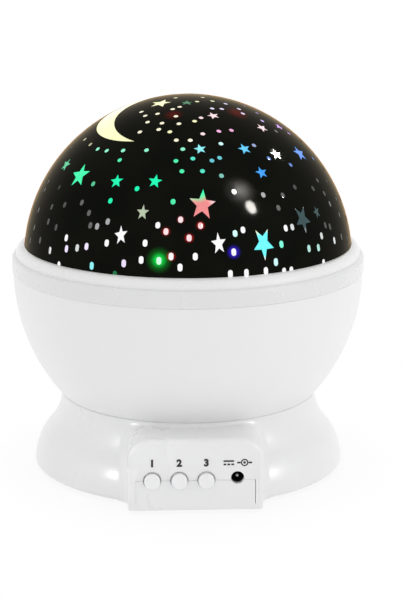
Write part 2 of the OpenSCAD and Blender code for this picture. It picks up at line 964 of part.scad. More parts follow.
module drive_gear() {
    color("ivory")
        difference() {
            union() {
                translate([0, 0, gear_z])
                    linear_extrude(height = gear_w) polygon(gear_outline(gear_teeth, 2));
                translate([0, 0, gear_z]) cylinder(r = gear_boss_r, h = floor_z - gear_z);
            }
            translate([0, 0, gear_z - 1]) cylinder(r = bush_r, h = floor_z - gear_z + 2);
            round_copies(3, gear_screw_ring, 30) {
                translate([0, 0, gear_z - 1]) cylinder(r = small_screw[0], h = 8);
                translate([0, 0, gear_z - 1]) cylinder(r = small_screw[1], h = small_screw[2] + 1);
            }
        }
}

module gear_screws() {
    color("silver")
        round_copies(3, gear_screw_ring, 30)
            translate([0, 0, gear_z])
                screw(small_screw, floor_top - gear_z - small_screw[2] + 0.8);
}

module thrust_washer() {
    color("gainsboro") ring(washer_r, bush_in_r, deck_z, deck_z + washer_t);
}

module hub_bush() {
    color("gainsboro") {
        ring(bush_r, bush_in_r, gear_z, bush_top);
        ring(bush_r + 1.6, bush_r - eps, hub_boss_z, bush_top);
    }
}

// Open spring clip in the groove of the lamp post
module retaining_clip() {
    color("silver")
        rotate([0, 0, 120])
            rotate_extrude(angle = 300)
                translate([post_r - clip_depth, clip_z])
                    square([clip_depth + 2.4, clip_t]);
}

module bowl() {
    color("white")
        difference() {
            rotate_extrude()
                difference() {
                    union() {
                        intersection() {
                            translate([bowl_c, rim_z]) circle(r = bowl_r);
                            translate([0, bowl_z]) square([rim_r, bowl_h]);
                        }
                        translate([0, floor_z]) square([neck_in_r - plug_gap, floor_t]);
                        translate([lip_in_r, rim_z - 2]) square([bowl_wall, lip_top - rim_z + 2]);
                    }
                    difference() {
                        union() {
                            intersection() {
                                translate([bowl_c, rim_z]) circle(r = bowl_r - bowl_wall);
                                translate([0, floor_top])
                                    square([rim_r, rim_z - floor_top]);
                            }
                            translate([0, rim_z - 2]) square([lip_in_r, rim_h + 2]);
                        }
                        translate([0, floor_z]) square([hub_boss_r, hub_boss_z - floor_z]);
                        translate([lip_in_r, rim_z - 2]) square([bowl_wall, 3]);
                    }
                }
            translate([0, 0, floor_z - 1]) cylinder(r = bush_r, h = 8);
            round_copies(3, gear_screw_ring, 30)
                translate([0, 0, floor_z - 1]) cylinder(r = small_screw[0], h = 8);
        }
    color("white")
        round_copies(3, gear_screw_ring, 30)
            ring(3, small_screw[0], floor_top - eps, floor_top + 2);
}

// Ring over the bowl's lip, rounded at its upper and lower outside edges
module rim_ring() {
    low_round = 0.5;
    color("white")
        rotate_extrude()
            difference() {
                union() {
                    translate([lip_r, rim_z + low_round])
                        square([rim_wall, rim_h - rim_round - low_round]);
                    translate([lip_r, rim_z]) square([rim_wall - low_round, low_round + eps]);
                    translate([rim_r - low_round, rim_z + low_round]) circle(r = low_round);
                    translate([lip_in_r, lip_top])
                        square([rim_r - rim_round - lip_in_r, rim_flange_t]);
                    translate([rim_r - rim_round, rim_top - rim_round]) circle(r = rim_round);
                }
                translate([0, rim_z - 1]) square([lip_r, lip_top - rim_z + 1]);
            }
}

// -------------------------------------------------------------------- lamp

module lamp_post() {
    foot_z = motor_top - foot_flange_t;
    color("white")
        difference() {
            union() {
                translate([0, 0, foot_z]) cylinder(r = post_r, h = post_top - foot_z);
                translate([0, 0, foot_z]) cylinder(r = foot_flange_r, h = foot_flange_t);
            }
            translate([0, 0, foot_z - 1]) cylinder(r = post_bore / 2, h = post_top - foot_z + 2);
            round_copies(3, post_screw_ring, 90)
                translate([0, 0, foot_z - 1]) cylinder(r = small_screw[0], h = foot_flange_t + 2);
            ring(post_r + 1, post_r - clip_depth, clip_z, clip_z + clip_t);
        }
}

module post_screws() {
    color("silver")
        round_copies(3, post_screw_ring, 90)
            translate([0, 0, motor_top - foot_flange_t - small_screw[2]])
                screw(small_screw, foot_flange_t + deck_t - 0.4);
}

// Cup on the post that carries the lamps' board
module lamp_head() {
    color("white")
        rotate_extrude()
            difference() {
                union() {
                    translate([0, post_top - head_plug_l])
                        square([post_bore / 2, head_plug_l + eps]);
                    polygon([
                        [0, post_top], [post_r, post_top],
                        [head_r, led_board_z - 0.8], [head_r, led_z + 0.8],
                        [0, led_z + 0.8]
                    ]);
                }
                translate([0, led_board_z]) square([head_r - head_wall, board_t + 2]);
                translate([0, post_top - head_plug_l - 1])
                    square([wire_hole_r, head_plug_l + head_rise + 2]);
            }
}

module led_board() {
    color("darkgreen") ring(led_board_r, wire_hole_r, led_board_z, led_z);
}

// A round lamp with a flange and a domed tip, at an angle round the board
module led(angle, tint) {
    r = led_d / 2;
    color(tint)
        rotate([0, 0, angle])
            translate([led_ring, 0, led_z])
                rotate_extrude() {
                    square([r + 0.4, 1]);
                    square([r, led_h - r]);
                    intersection() {
                        translate([0, led_h - r]) circle(r = r);
                        square([r, led_h]);
                    }
                }
}

module red_led() { led(270, "red"); }
module green_led() { led(180, "lime"); }
module blue_led() { led(0, "blue"); }
module warm_led() { led(90, "lightyellow"); }

// Loom from the control board, over the bay and up the post to the lamps
module lamp_wires() {
    r = 1;
    bend = 3;
    run_z = bay_roof_z + bay_wall + r + 0.2;
    start_y = control_back - 2;
    color("dimgray") {
        translate([0, start_y, control_top])
            cylinder(r = r, h = run_z - bend - control_top);
        translate([0, start_y + bend, run_z - bend])
            rotate([90, 0, -90])
                rotate_extrude(angle = 90) translate([bend, 0]) circle(r = r, $fn = 24);
        bar_y(0, run_z, r, start_y + bend, -bend);
        translate([0, -bend, run_z + bend])
            rotate([90, 0, -90])
                rotate_extrude(angle = 90, start = 180) translate([bend, 0]) circle(r = r, $fn = 24);
        translate([0, 0, run_z + bend]) cylinder(r = r, h = led_z - run_z - bend);
    }
}

// -------------------------------------------------------------------- dome

// Collar that carries the dome: a rounded band and a spigot inside the lip
module dome_collar() {
    round = collar_r - (dome_r - 0.4);
    ledge_r = clear_in_r - 0.4;
    color("white")
        rotate_extrude()
            difference() {
                union() {
                    translate([ledge_r, spigot_z]) square([spigot_r - ledge_r, rim_top - spigot_z]);
                    translate([ledge_r, rim_top])
                        square([collar_r - ledge_r, collar_h - round]);
                    intersection() {
                        translate([collar_r - round, collar_top - round]) circle(r = round);
                        translate([ledge_r, rim_top]) square([rim_r, collar_h]);
                    }
                }
                intersection() {
                    translate([0, dome_z]) circle(r = dome_r + mask_gap);
                    translate([0, seat_z]) square([rim_r, collar_h + 10]);
                }
            }
}

// A spherical shell from the seat up
module dome_shell(r_out, r_in) {
    translate([0, 0, dome_z])
        rotate_extrude()
            intersection() {
                difference() {
                    circle(r = r_out);
                    circle(r = r_in);
                }
                translate([0, seat_z - dome_z]) square(r_out + 1);
            }
}

module clear_dome() {
    color("aliceblue", 0.4) dome_shell(clear_r, clear_in_r);
}

// Turns a flat figure into a cutter that stands out from the dome's centre,
// with the figure's +Y towards the crown
module on_dome(azimuth, elevation, depth = 4) {
    translate([0, 0, dome_z])
        rotate([90 - elevation, 0, azimuth])
            translate([0, 0, dome_r - depth])
                linear_extrude(height = depth + 1) children();
}

// How much taller a figure is drawn at an elevation
function tall(elevation) = 1 + stretch * max(0, stretch_top - elevation) / stretch_top;

// Points of a star with five tips, drawn taller by a factor
function star_points(tip_r, turn, factor) =
    [for (i = [0:9])
        let (r = i % 2 == 0 ? tip_r : tip_r * star_waist, p = polar(r, 90 + turn + 36 * i))
        [p[0], p[1] * factor]];

module star_window(star) {
    on_dome(star[0], star[1])
        polygon(star_points(star[2], star[3], tall(star[1])));
}

module pinhole(azimuth, elevation) {
    r = pinhole_d / 2;
    reach = r * (tall(elevation) - 1);
    on_dome(azimuth, elevation)
        if (reach > 0.02)
            union() {
                translate([-r, -reach]) square([2 * r, 2 * reach]);
                for (side = [-1, 1])
                    translate([0, side * reach]) circle(r = r, $fn = 24);
            }
        else
            circle(r = r, $fn = 24);
}

module moon_window() {
    on_dome(MOON[0], MOON[1], 8)
        difference() {
            circle(r = MOON[2]);
            translate([MOON_CUT[0], MOON_CUT[1]]) circle(r = MOON_CUT[2]);
        }
}

// Whether a figure of a given reach would run into the moon
function meets_moon(azimuth, elevation, reach) =
    let (turn = azimuth - MOON[0],
         p = dome_r * [sin(turn) * cos(elevation),
                       sin(elevation) * cos(MOON[1])
                       - cos(turn) * cos(elevation) * sin(MOON[1])])
    elevation > 40 && norm(p) < MOON[2] + reach
    && norm(p - [MOON_CUT[0], MOON_CUT[1]]) > MOON_CUT[2] - reach;

// The pattern over one side of the dome, as it lies when turned into place
module sky(turn) {
    for (star = STARS)
        if (!meets_moon(star[0] + turn, star[1], star[2] + 0.8)) star_window(star);
    for (row = PINHOLE_ROWS)
        for (azimuth = row[1])
            if (!meets_moon(azimuth + turn, row[0], 1.6)) pinhole(azimuth, row[0]);
}

module star_mask() {
    color("black")
        difference() {
            dome_shell(dome_r, dome_r - mask_t);
            for (i = [0:sky_repeats - 1])
                rotate([0, 0, i * 180]) sky(i * 180);
            moon_window();
        }
}

base_housing();
base_plate();
rubber_feet();
case_screws();
battery_door();
door_screw();
battery_cells();
contact_plates();
contact_springs();
control_board();
control_chip();
switch_bodies();
button_1();
button_2();
button_3();
plunger_1();
plunger_2();
plunger_3();
dc_jack();
jack_pin();
gear_motor();
motor_screws();
motor_shaft();
pinion();
lamp_post();
post_screws();
thrust_washer();
retaining_clip();
lamp_head();
led_board();
red_led();
green_led();
blue_led();
warm_led();
lamp_wires();
drive_gear();
hub_bush();
gear_screws();
bowl();
rim_ring();
dome_collar();
clear_dome();
star_mask();
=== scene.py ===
"""Looks of the star night light projector: finishes, window lenses, printed marks and the studio.

Everything is in metres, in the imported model's own frame: +Z up, the control pod towards -Y.
"""

import json
import logging
import math
from collections.abc import Iterator
from contextlib import contextmanager
from dataclasses import dataclass, field
from enum import Enum

import bpy
from bpy.types import Collection, Material, Node, NodeSocket, NodeTree, Object
from bpy.types import bpy_prop_collection as Sockets
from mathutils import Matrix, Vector

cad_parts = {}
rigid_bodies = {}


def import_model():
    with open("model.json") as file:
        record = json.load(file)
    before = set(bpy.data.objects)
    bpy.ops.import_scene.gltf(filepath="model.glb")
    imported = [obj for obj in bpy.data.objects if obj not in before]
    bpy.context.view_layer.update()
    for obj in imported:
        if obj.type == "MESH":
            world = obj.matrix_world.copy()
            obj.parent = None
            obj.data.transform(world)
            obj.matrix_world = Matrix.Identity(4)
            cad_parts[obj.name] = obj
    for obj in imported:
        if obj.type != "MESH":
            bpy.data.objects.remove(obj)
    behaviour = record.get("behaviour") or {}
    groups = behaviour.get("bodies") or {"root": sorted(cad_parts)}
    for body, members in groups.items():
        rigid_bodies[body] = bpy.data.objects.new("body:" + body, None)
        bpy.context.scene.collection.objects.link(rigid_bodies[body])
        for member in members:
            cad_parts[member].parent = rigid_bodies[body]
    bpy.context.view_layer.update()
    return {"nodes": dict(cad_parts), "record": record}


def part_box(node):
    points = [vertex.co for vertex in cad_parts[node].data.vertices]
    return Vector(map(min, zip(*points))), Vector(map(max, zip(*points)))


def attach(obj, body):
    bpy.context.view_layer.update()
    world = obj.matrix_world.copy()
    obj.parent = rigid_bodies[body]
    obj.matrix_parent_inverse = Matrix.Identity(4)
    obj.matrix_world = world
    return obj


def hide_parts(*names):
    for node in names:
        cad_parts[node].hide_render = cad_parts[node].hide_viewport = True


MM = 0.001
NECK_RADIUS = 47.5 * MM
PURE_WHITE = (1.0, 1.0, 1.0, 1.0)
BLACK = (0.0, 0.0, 0.0, 1.0)
log = logging.getLogger("star_night_light")


# ---------------------------------------------------------------- colours


def linear(red: float, green: float, blue: float) -> tuple[float, float, float, float]:
    """Turns a display colour of 0 to 255 into a linear one.

    Args:
        red: Display red.
        green: Display green.
        blue: Display blue.

    Returns:
        The linear colour with an alpha of 1.
    """
    shares = [value / 255 for value in (red, green, blue)]
    parts = [s / 12.92 if s <= 0.04045 else ((s + 0.055) / 1.055) ** 2.4 for s in shares]
    return (*parts, 1.0)


def dimmed(colour: tuple, share: float) -> tuple[float, float, float, float]:
    """Darkens a linear colour to a share of itself."""
    return (*(share * part for part in colour[:3]), 1.0)


class Tint(Enum):
    """Display colours of the light that comes through the dome's windows, and of the glows painted
    on its black print.
    """

    CREAM = 250, 252, 196
    CROWN = 250, 246, 216
    WHITE = 250, 250, 252
    ROSE_WHITE = 255, 226, 230
    LILAC_WHITE = 236, 224, 255
    ICE_WHITE = 206, 252, 250
    PINK = 248, 178, 222
    LAVENDER = 206, 180, 246
    DULL_LAVENDER = 158, 132, 186
    VIOLET = 196, 140, 226
    MINT = 74, 238, 172
    BRIGHT_MINT = 124, 250, 214
    LEAF = 58, 252, 174
    EMERALD = 12, 250, 180
    PALE_MINT = 142, 244, 204
    DULL_GREEN = 82, 198, 144
    DARK_GREEN = 22, 112, 66
    TEAL = 84, 232, 204
    DULL_TEAL = 116, 192, 176
    TEAL_BLUE = 100, 198, 210
    PALE_TEAL = 178, 226, 216
    PALE_CYAN = 142, 240, 244
    CYAN = 108, 250, 255
    SKY = 100, 206, 255
    BLUE = 62, 162, 250
    DEEP_BLUE = 92, 150, 240
    DULL_BLUE = 86, 126, 196
    MIST_BLUE = 150, 166, 208
    GREEN_WHITE = 220, 250, 226
    SALMON = 242, 142, 142
    SAGE = 178, 192, 166
    SLATE = 50, 76, 78
    DULL_CREAM = 186, 182, 146
    SILVER = 216, 222, 220
    GREY = 168, 170, 172
    DIM = 98, 98, 96
    FAINT = 70, 70, 68
    UNLIT = 30, 31, 27
    LAMP_GREEN = 204, 255, 222
    HALO_GREEN = 0, 150, 40
    CORE_GREEN = 20, 255, 96
    HALO_BLUE = 56, 30, 226
    HALO_RED = 206, 20, 16

    def light(self) -> tuple[float, float, float, float]:
        """Gives the tint as a linear colour."""
        return linear(*self.value)


# ------------------------------------------------------------ node helpers


@dataclass
class Graph:
    """Adds and wires the nodes of one shader tree."""

    tree: NodeTree

    def add(self, kind: str, **settings: object) -> Node:
        """Adds a node.

        Args:
            kind: Blender's name of the node type.
            settings: Properties to set on the node.

        Returns:
            The new node.
        """
        node = self.tree.nodes.new(kind)
        for name, value in settings.items():
            setattr(node, name, value)
        return node

    def wire(self, source: NodeSocket, target: NodeSocket) -> None:
        """Links one socket to another."""
        self.tree.links.new(source, target)

    def feed(self, socket: NodeSocket, value: object) -> None:
        """Links a socket to the value, or sets it when the value is plain."""
        if isinstance(value, NodeSocket):
            self.wire(value, socket)
        else:
            socket.default_value = value

    def plug(self, node: Node, **values: object) -> Node:
        """Links or sets a node's inputs.

        Args:
            node: The node.
            values: Sockets or plain values by input, with underscores for spaces.

        Returns:
            The node.
        """
        for label, value in values.items():
            self.feed(node.inputs[label.replace("_", " ")], value)
        return node

    def maths(self, operation: str, *values: object) -> NodeSocket:
        """Adds a Math node.

        Args:
            operation: The node's operation.
            values: Sockets or numbers, in order.

        Returns:
            The node's output.
        """
        node = self.add("ShaderNodeMath", operation=operation)
        for socket, value in zip(node.inputs, values):
            self.feed(socket, value)
        return node.outputs[0]

    def mix(self, share: object, low: object, high: object) -> NodeSocket:
        """Mixes two colours by a share and returns the colour."""
        node = self.add("ShaderNodeMix", data_type="RGBA")
        return self.plug(node, Factor=share, A=low, B=high).outputs["Result"]

    def ramp(self, value: object, low: object, high: object, out_low: float, out_high: float,
             smooth: bool = False) -> NodeSocket:
        """Maps a value from one range to another.

        Args:
            value: The socket or number to map.
            low: Where the input range starts.
            high: Where the input range ends.
            out_low: What the start maps to.
            out_high: What the end maps to.
            smooth: Whether the map eases in and out.

        Returns:
            The mapped value.
        """
        kind = "SMOOTHSTEP" if smooth else "LINEAR"
        node = self.add("ShaderNodeMapRange", interpolation_type=kind)
        self.plug(node, Value=value, From_Min=low, From_Max=high, To_Min=out_low, To_Max=out_high)
        return node.outputs["Result"]

    def place(self) -> NodeSocket:
        """Gives the place on the object, in its own coordinates."""
        return self.add("ShaderNodeTexCoord").outputs["Object"]

    def split(self, vector: NodeSocket) -> Sockets:
        """Splits a vector and gives its X, Y and Z outputs."""
        return self.plug(self.add("ShaderNodeSeparateXYZ"), Vector=vector).outputs

    def apart(self, first: object, second: object) -> NodeSocket:
        """Gives the distance between two places."""
        node = self.add("ShaderNodeVectorMath", operation="DISTANCE")
        self.feed(node.inputs[0], first)
        self.feed(node.inputs[1], second)
        return node.outputs["Value"]

    def noise(self, scale: object, detail: float = 2.0,
              stretch: tuple | None = None) -> NodeSocket:
        """Adds a noise over the object's own coordinates.

        Args:
            scale: Grains in a metre.
            detail: Finer layers in the noise.
            stretch: Scale along each axis, where the grain is drawn out.

        Returns:
            The noise's value, around a half.
        """
        place = self.place()
        if stretch:
            mapping = self.plug(self.add("ShaderNodeMapping"), Vector=place, Scale=stretch)
            place = mapping.outputs["Vector"]
        node = self.plug(self.add("ShaderNodeTexNoise"), Vector=place, Scale=scale, Detail=detail)
        return node.outputs["Fac"]

    def bump(self, height: object, distance: object, invert: bool = False,
             **inputs: object) -> NodeSocket:
        """Raises the surface by a height, up to a distance, and returns its normal."""
        node = self.add("ShaderNodeBump", invert=invert)
        return self.plug(node, Height=height, Distance=distance, **inputs).outputs["Normal"]

    def seen(self) -> NodeSocket:
        """Gives 1 to rays that look at a thing, straight, in gloss or through glass."""
        path = self.add("ShaderNodeLightPath").outputs
        mirrored = self.maths("MAXIMUM", path["Is Glossy Ray"], path["Is Transmission Ray"])
        return self.maths("MAXIMUM", path["Is Camera Ray"], mirrored)


def new_group(name: str, inputs: dict[str, float | None], outputs: dict[str, str]) -> tuple:
    """Starts a shader node group.

    Args:
        name: Name of the group.
        inputs: Its number inputs with their defaults, and its vector inputs with None.
        outputs: Names of its outputs, with their socket types.

    Returns:
        The group, a graph on it, its given values and its output node.
    """
    group = bpy.data.node_groups.new(name, "ShaderNodeTree")
    for label, default in inputs.items():
        kind = "NodeSocketVector" if default is None else "NodeSocketFloat"
        socket = group.interface.new_socket(label, in_out="INPUT", socket_type=kind)
        if default is not None:
            socket.default_value = default
    for label, kind in outputs.items():
        group.interface.new_socket(label, in_out="OUTPUT", socket_type=kind)
    graph = Graph(group)
    return group, graph, graph.add("NodeGroupInput").outputs, graph.add("NodeGroupOutput")


def mould_grain_group() -> NodeTree:
    """Builds the fine grain and slow flow marks that a mould leaves on plastic."""
    group, graph, given, out = new_group(
        "mould_grain",
        {"Grain Scale": 2500.0, "Grain Depth": 0.00001, "Flow Scale": 40.0},
        {"Normal": "NodeSocketVector", "Flow": "NodeSocketFloat"},
    )
    flow = graph.noise(given["Flow Scale"], detail=3.0, stretch=(1.0, 1.0, 0.35))
    graph.plug(out, Flow=graph.ramp(flow, 0.35, 0.65, 0.0, 1.0, smooth=True),
               Normal=graph.bump(graph.noise(given["Grain Scale"]), given["Grain Depth"]))
    return group


def handling_group() -> NodeTree:
    """Builds the dust on upper faces and the rub where fingers touch, as two masks."""
    group, graph, given, out = new_group(
        "handling",
        {"Dust": 0.3, "Rub": 0.5},
        {"Dust Mask": "NodeSocketFloat", "Rub Mask": "NodeSocketFloat"},
    )
    facing = graph.split(graph.add("ShaderNodeNewGeometry").outputs["Normal"])
    upward = graph.ramp(facing["Z"], 0.35, 1.0, 0.0, 1.0, smooth=True)
    specks = graph.ramp(graph.noise(900.0, detail=4.0), 0.45, 0.75, 0.0, 1.0)
    dusty = graph.maths("MULTIPLY", upward, specks)
    patch = graph.ramp(graph.noise(90.0, detail=3.0), 0.48, 0.66, 0.0, 1.0, smooth=True)
    fine = graph.ramp(graph.noise(650.0), 0.4, 0.65, 0.35, 1.0)
    rubbed = graph.maths("MULTIPLY", patch, fine)
    graph.plug(out, Dust_Mask=graph.maths("MULTIPLY", dusty, given["Dust"]),
               Rub_Mask=graph.maths("MULTIPLY", rubbed, given["Rub"]))
    return group


def sky_spot_group() -> NodeTree:
    """Builds a round soft mask about a direction from the dome's centre."""
    group, graph, given, out = new_group(
        "sky_spot",
        {"Direction": None, "Centre": None, "Reach": 0.1, "Fade": 0.05},
        {"Mask": "NodeSocketFloat"},
    )
    inner = graph.maths("SUBTRACT", given["Reach"], given["Fade"])
    gap = graph.apart(given["Direction"], given["Centre"])
    graph.plug(out, Mask=graph.ramp(gap, inner, given["Reach"], 1.0, 0.0, smooth=True))
    return group


@dataclass
class ShaderShelf:
    """Holds the shared node groups and starts materials."""

    groups: dict[str, NodeTree] = field(default_factory=dict)

    def __post_init__(self) -> None:
        """Builds every shared group once."""
        for build in (mould_grain_group, handling_group, sky_spot_group):
            group = build()
            self.groups[group.name] = group

    def place(self, graph: Graph, name: str, **values: object) -> Sockets:
        """Places a shared group with these inputs in a material and returns its outputs."""
        node = graph.add("ShaderNodeGroup", node_tree=self.groups[name])
        return graph.plug(node, **values).outputs

    @staticmethod
    def start(name: str) -> tuple[Material, Graph, Node]:
        """Makes a material with one Principled shader.

        Args:
            name: Name of the material.

        Returns:
            The material, a graph on it and its shader.
        """
        material = bpy.data.materials.new(name)
        material.use_nodes = True
        graph = Graph(material.node_tree)
        shader = next(n for n in graph.tree.nodes if n.type == "BSDF_PRINCIPLED")
        return material, graph, shader


# --------------------------------------------------------------- finishes


@dataclass(frozen=True)
class MouldedPlastic:
    """An opaque moulded plastic with grain, flow marks, dust and rubbed patches."""

    name: str
    colour: tuple
    flow_colour: tuple
    roughness: float = 0.3
    grain_depth: float = 0.000004
    coat: float = 0.25
    dust: float = 0.12
    dust_colour: tuple = linear(196, 193, 186)

    def build(self, shelf: ShaderShelf) -> Material:
        """Builds the material with the shared groups."""
        material, graph, shader = shelf.start(self.name)
        grain = shelf.place(graph, "mould_grain", Grain_Depth=self.grain_depth, Flow_Scale=38.0)
        handling = shelf.place(graph, "handling", Dust=self.dust, Rub=0.5)
        body = graph.mix(grain["Flow"], self.colour, self.flow_colour)
        smooth = graph.ramp(grain["Flow"], 0.0, 1.0, self.roughness - 0.03, self.roughness + 0.03)
        rubbed = graph.maths("MULTIPLY", handling["Rub Mask"], 0.12)
        graph.plug(shader, Base_Color=graph.mix(handling["Dust Mask"], body, self.dust_colour),
                   Roughness=graph.maths("ADD", smooth, rubbed), Normal=grain["Normal"],
                   Coat_Weight=self.coat, Coat_Roughness=0.14)
        return material


@dataclass(frozen=True)
class Metal:
    """Plated or drawn steel with a fine brushed grain and dull patches."""

    name: str
    colour: tuple
    roughness: float
    stretch: tuple = (1.0, 1.0, 12.0)
    worn_colour: tuple = linear(232, 232, 230)

    def build(self, shelf: ShaderShelf) -> Material:
        """Builds the material."""
        material, graph, shader = shelf.start(self.name)
        brushed = graph.noise(1400.0, detail=3.0, stretch=self.stretch)
        dull = graph.ramp(graph.noise(220.0, detail=3.0), 0.4, 0.65, 0.0, 1.0)
        handling = shelf.place(graph, "handling", Dust=0.1, Rub=0.8)
        tarnish = graph.mix(dull, self.colour, dimmed(self.colour, 0.82))
        graph.plug(shader, Base_Color=graph.mix(handling["Rub Mask"], tarnish, self.worn_colour),
                   Roughness=graph.ramp(brushed, 0.3, 0.7, self.roughness - 0.07,
                                        self.roughness + 0.1),
                   Normal=graph.bump(brushed, 0.000006), Metallic=1.0)
        return material


@dataclass(frozen=True)
class CircuitBoard:
    """A solder mask over copper tracks."""

    name: str = "board_green"

    def build(self, shelf: ShaderShelf) -> Material:
        """Builds the material, with tracks as a brick pattern under the mask."""
        material, graph, shader = shelf.start(self.name)
        tracks = graph.plug(
            graph.add("ShaderNodeTexBrick", offset=0.35, squash=1.0), Vector=graph.place(),
            Scale=120.0, Mortar_Size=0.045, Mortar=linear(34, 122, 66),
            Color1=linear(14, 84, 44), Color2=linear(12, 74, 40)).outputs
        grain = shelf.place(graph, "mould_grain", Grain_Scale=5000.0, Grain_Depth=0.000004)
        shade = graph.maths("MULTIPLY", grain["Flow"], 0.3)
        graph.plug(shader, Base_Color=graph.mix(shade, tracks["Color"], linear(10, 60, 34)),
                   Normal=graph.bump(tracks["Fac"], 0.00002, invert=True, Normal=grain["Normal"]),
                   Roughness=0.28)
        return material


@dataclass(frozen=True)
class CellJacket:
    """A dry cell's plain jacket: a steel-blue wrap with a pale band at its plus end."""

    name: str = "cell_wrap"

    def build(self, shelf: ShaderShelf) -> Material:
        """Builds the material, banded along X and mirrored for the turned cells."""
        material, graph, shader = shelf.start(self.name)
        grain = shelf.place(graph, "mould_grain", Grain_Scale=3000.0, Grain_Depth=0.000003)
        handling = shelf.place(graph, "handling", Dust=0.05, Rub=0.6)
        reach = graph.maths("ABSOLUTE", graph.split(graph.place())["X"])
        band = graph.ramp(reach, 0.0150, 0.0151, 0.0, 1.0)
        end = graph.ramp(reach, 0.0228, 0.0229, 0.0, 1.0)
        wrap = graph.mix(band, linear(58, 92, 128), linear(196, 198, 200))
        steel = graph.mix(end, wrap, linear(206, 206, 204))
        graph.plug(shader,
                   Base_Color=graph.mix(handling["Rub Mask"], steel, linear(214, 214, 212)),
                   Roughness=graph.ramp(grain["Flow"], 0.0, 1.0, 0.22, 0.3),
                   Metallic=graph.ramp(end, 0.0, 1.0, 0.25, 1.0), Normal=grain["Normal"],
                   Coat_Weight=0.4)
        return material


@dataclass(frozen=True)
class LampEpoxy:
    """A lit lamp's tinted epoxy: bright where its chip sits, deeper in colour up the lens."""

    name: str
    colour: tuple
    foot_z: float

    def build(self, shelf: ShaderShelf) -> Material:
        """Builds the material."""
        material, graph, shader = shelf.start(self.name)
        core = graph.ramp(graph.split(graph.place())["Z"], self.foot_z + 1.0 * MM,
                          self.foot_z + 6.5 * MM, 0.75, 0.1, smooth=True)
        grain = shelf.place(graph, "mould_grain", Grain_Scale=1500.0, Grain_Depth=0.000002)
        graph.plug(shader,
                   Base_Color=graph.mix(grain["Flow"], self.colour, dimmed(self.colour, 0.8)),
                   Emission_Color=graph.mix(core, self.colour, PURE_WHITE), Emission_Strength=1.0,
                   Normal=grain["Normal"], Roughness=0.08, Coat_Weight=0.6)
        return material


@dataclass(frozen=True)
class ClearShell:
    """The frosted clear plastic inside the dome."""

    name: str = "clear_dome"

    def build(self, shelf: ShaderShelf) -> Material:
        """Builds the material."""
        material, graph, shader = shelf.start(self.name)
        grain = shelf.place(graph, "mould_grain", Grain_Scale=1800.0, Grain_Depth=0.000006)
        body = graph.mix(grain["Flow"], linear(236, 242, 242), linear(226, 234, 234))
        graph.plug(shader, Base_Color=body, Normal=grain["Normal"],
                   Roughness=graph.ramp(grain["Flow"], 0.0, 1.0, 0.16, 0.26),
                   Transmission_Weight=0.9, IOR=1.49)
        return material


@dataclass(frozen=True)
class Glow:
    """A soft spot of coloured light on the dome.

    Azimuth runs from the front towards +X and elevation up from the dome's centre, in degrees.
    """

    azimuth: float
    elevation: float
    reach: float
    tint: Tint
    share: float = 1.0
    fade: float = 0.6

    def direction(self) -> Vector:
        """Gives the spot's direction from the dome's centre."""
        turn, rise = math.radians(self.azimuth), math.radians(self.elevation)
        return Vector((math.sin(turn) * math.cos(rise), -math.cos(turn) * math.cos(rise),
                       math.sin(rise)))


def dome_direction(graph: Graph, centre_z: float, folded: bool = True) -> NodeSocket:
    """Gives the direction from the dome's centre.

    Args:
        graph: The material's graph.
        centre_z: Height of the dome's centre.
        folded: Whether the back half is turned onto the front, as the pattern's repeat is.

    Returns:
        The unit direction.
    """
    mapping = graph.plug(graph.add("ShaderNodeMapping"), Vector=graph.place(),
                         Location=(0.0, 0.0, -centre_z))
    parts = graph.split(mapping.outputs["Vector"])
    across, ahead = parts["X"], parts["Y"]
    if folded:
        side = graph.ramp(graph.maths("GREATER_THAN", ahead, 0.0), 0.0, 1.0, 1.0, -1.0)
        across, ahead = (graph.maths("MULTIPLY", part, side) for part in (across, ahead))
    joined = graph.plug(graph.add("ShaderNodeCombineXYZ"), X=across, Y=ahead, Z=parts["Z"])
    unit = graph.add("ShaderNodeVectorMath", operation="NORMALIZE")
    graph.wire(joined.outputs["Vector"], unit.inputs[0])
    return unit.outputs["Vector"]


def paint_glows(shelf: ShaderShelf, graph: Graph, direction: NodeSocket,
                ground: object, glows: tuple[Glow, ...]) -> NodeSocket:
    """Lays soft spots over a ground colour, each over the ones before it.

    Args:
        shelf: The shared groups.
        graph: The material's graph.
        direction: Direction from the dome's centre.
        ground: The colour where no spot reaches.
        glows: The spots, from the lowest to the topmost.

    Returns:
        The painted colour.
    """
    colour = ground
    for glow in glows:
        reach = 2 * math.sin(math.radians(glow.reach) / 2)
        spot = shelf.place(graph, "sky_spot", Direction=direction, Centre=glow.direction(),
                           Reach=reach, Fade=reach * glow.fade)
        share = graph.maths("MULTIPLY", spot["Mask"], glow.share)
        colour = graph.mix(share, colour, glow.tint.light())
    return colour


def spots(tint: Tint, reach: float, *places: tuple[float, float]) -> tuple[Glow, ...]:
    """Lists spots of one tint and reach, each at the azimuth and elevation of a window."""
    return tuple(Glow(azimuth, elevation, reach, tint, fade=0.25) for azimuth, elevation in places)


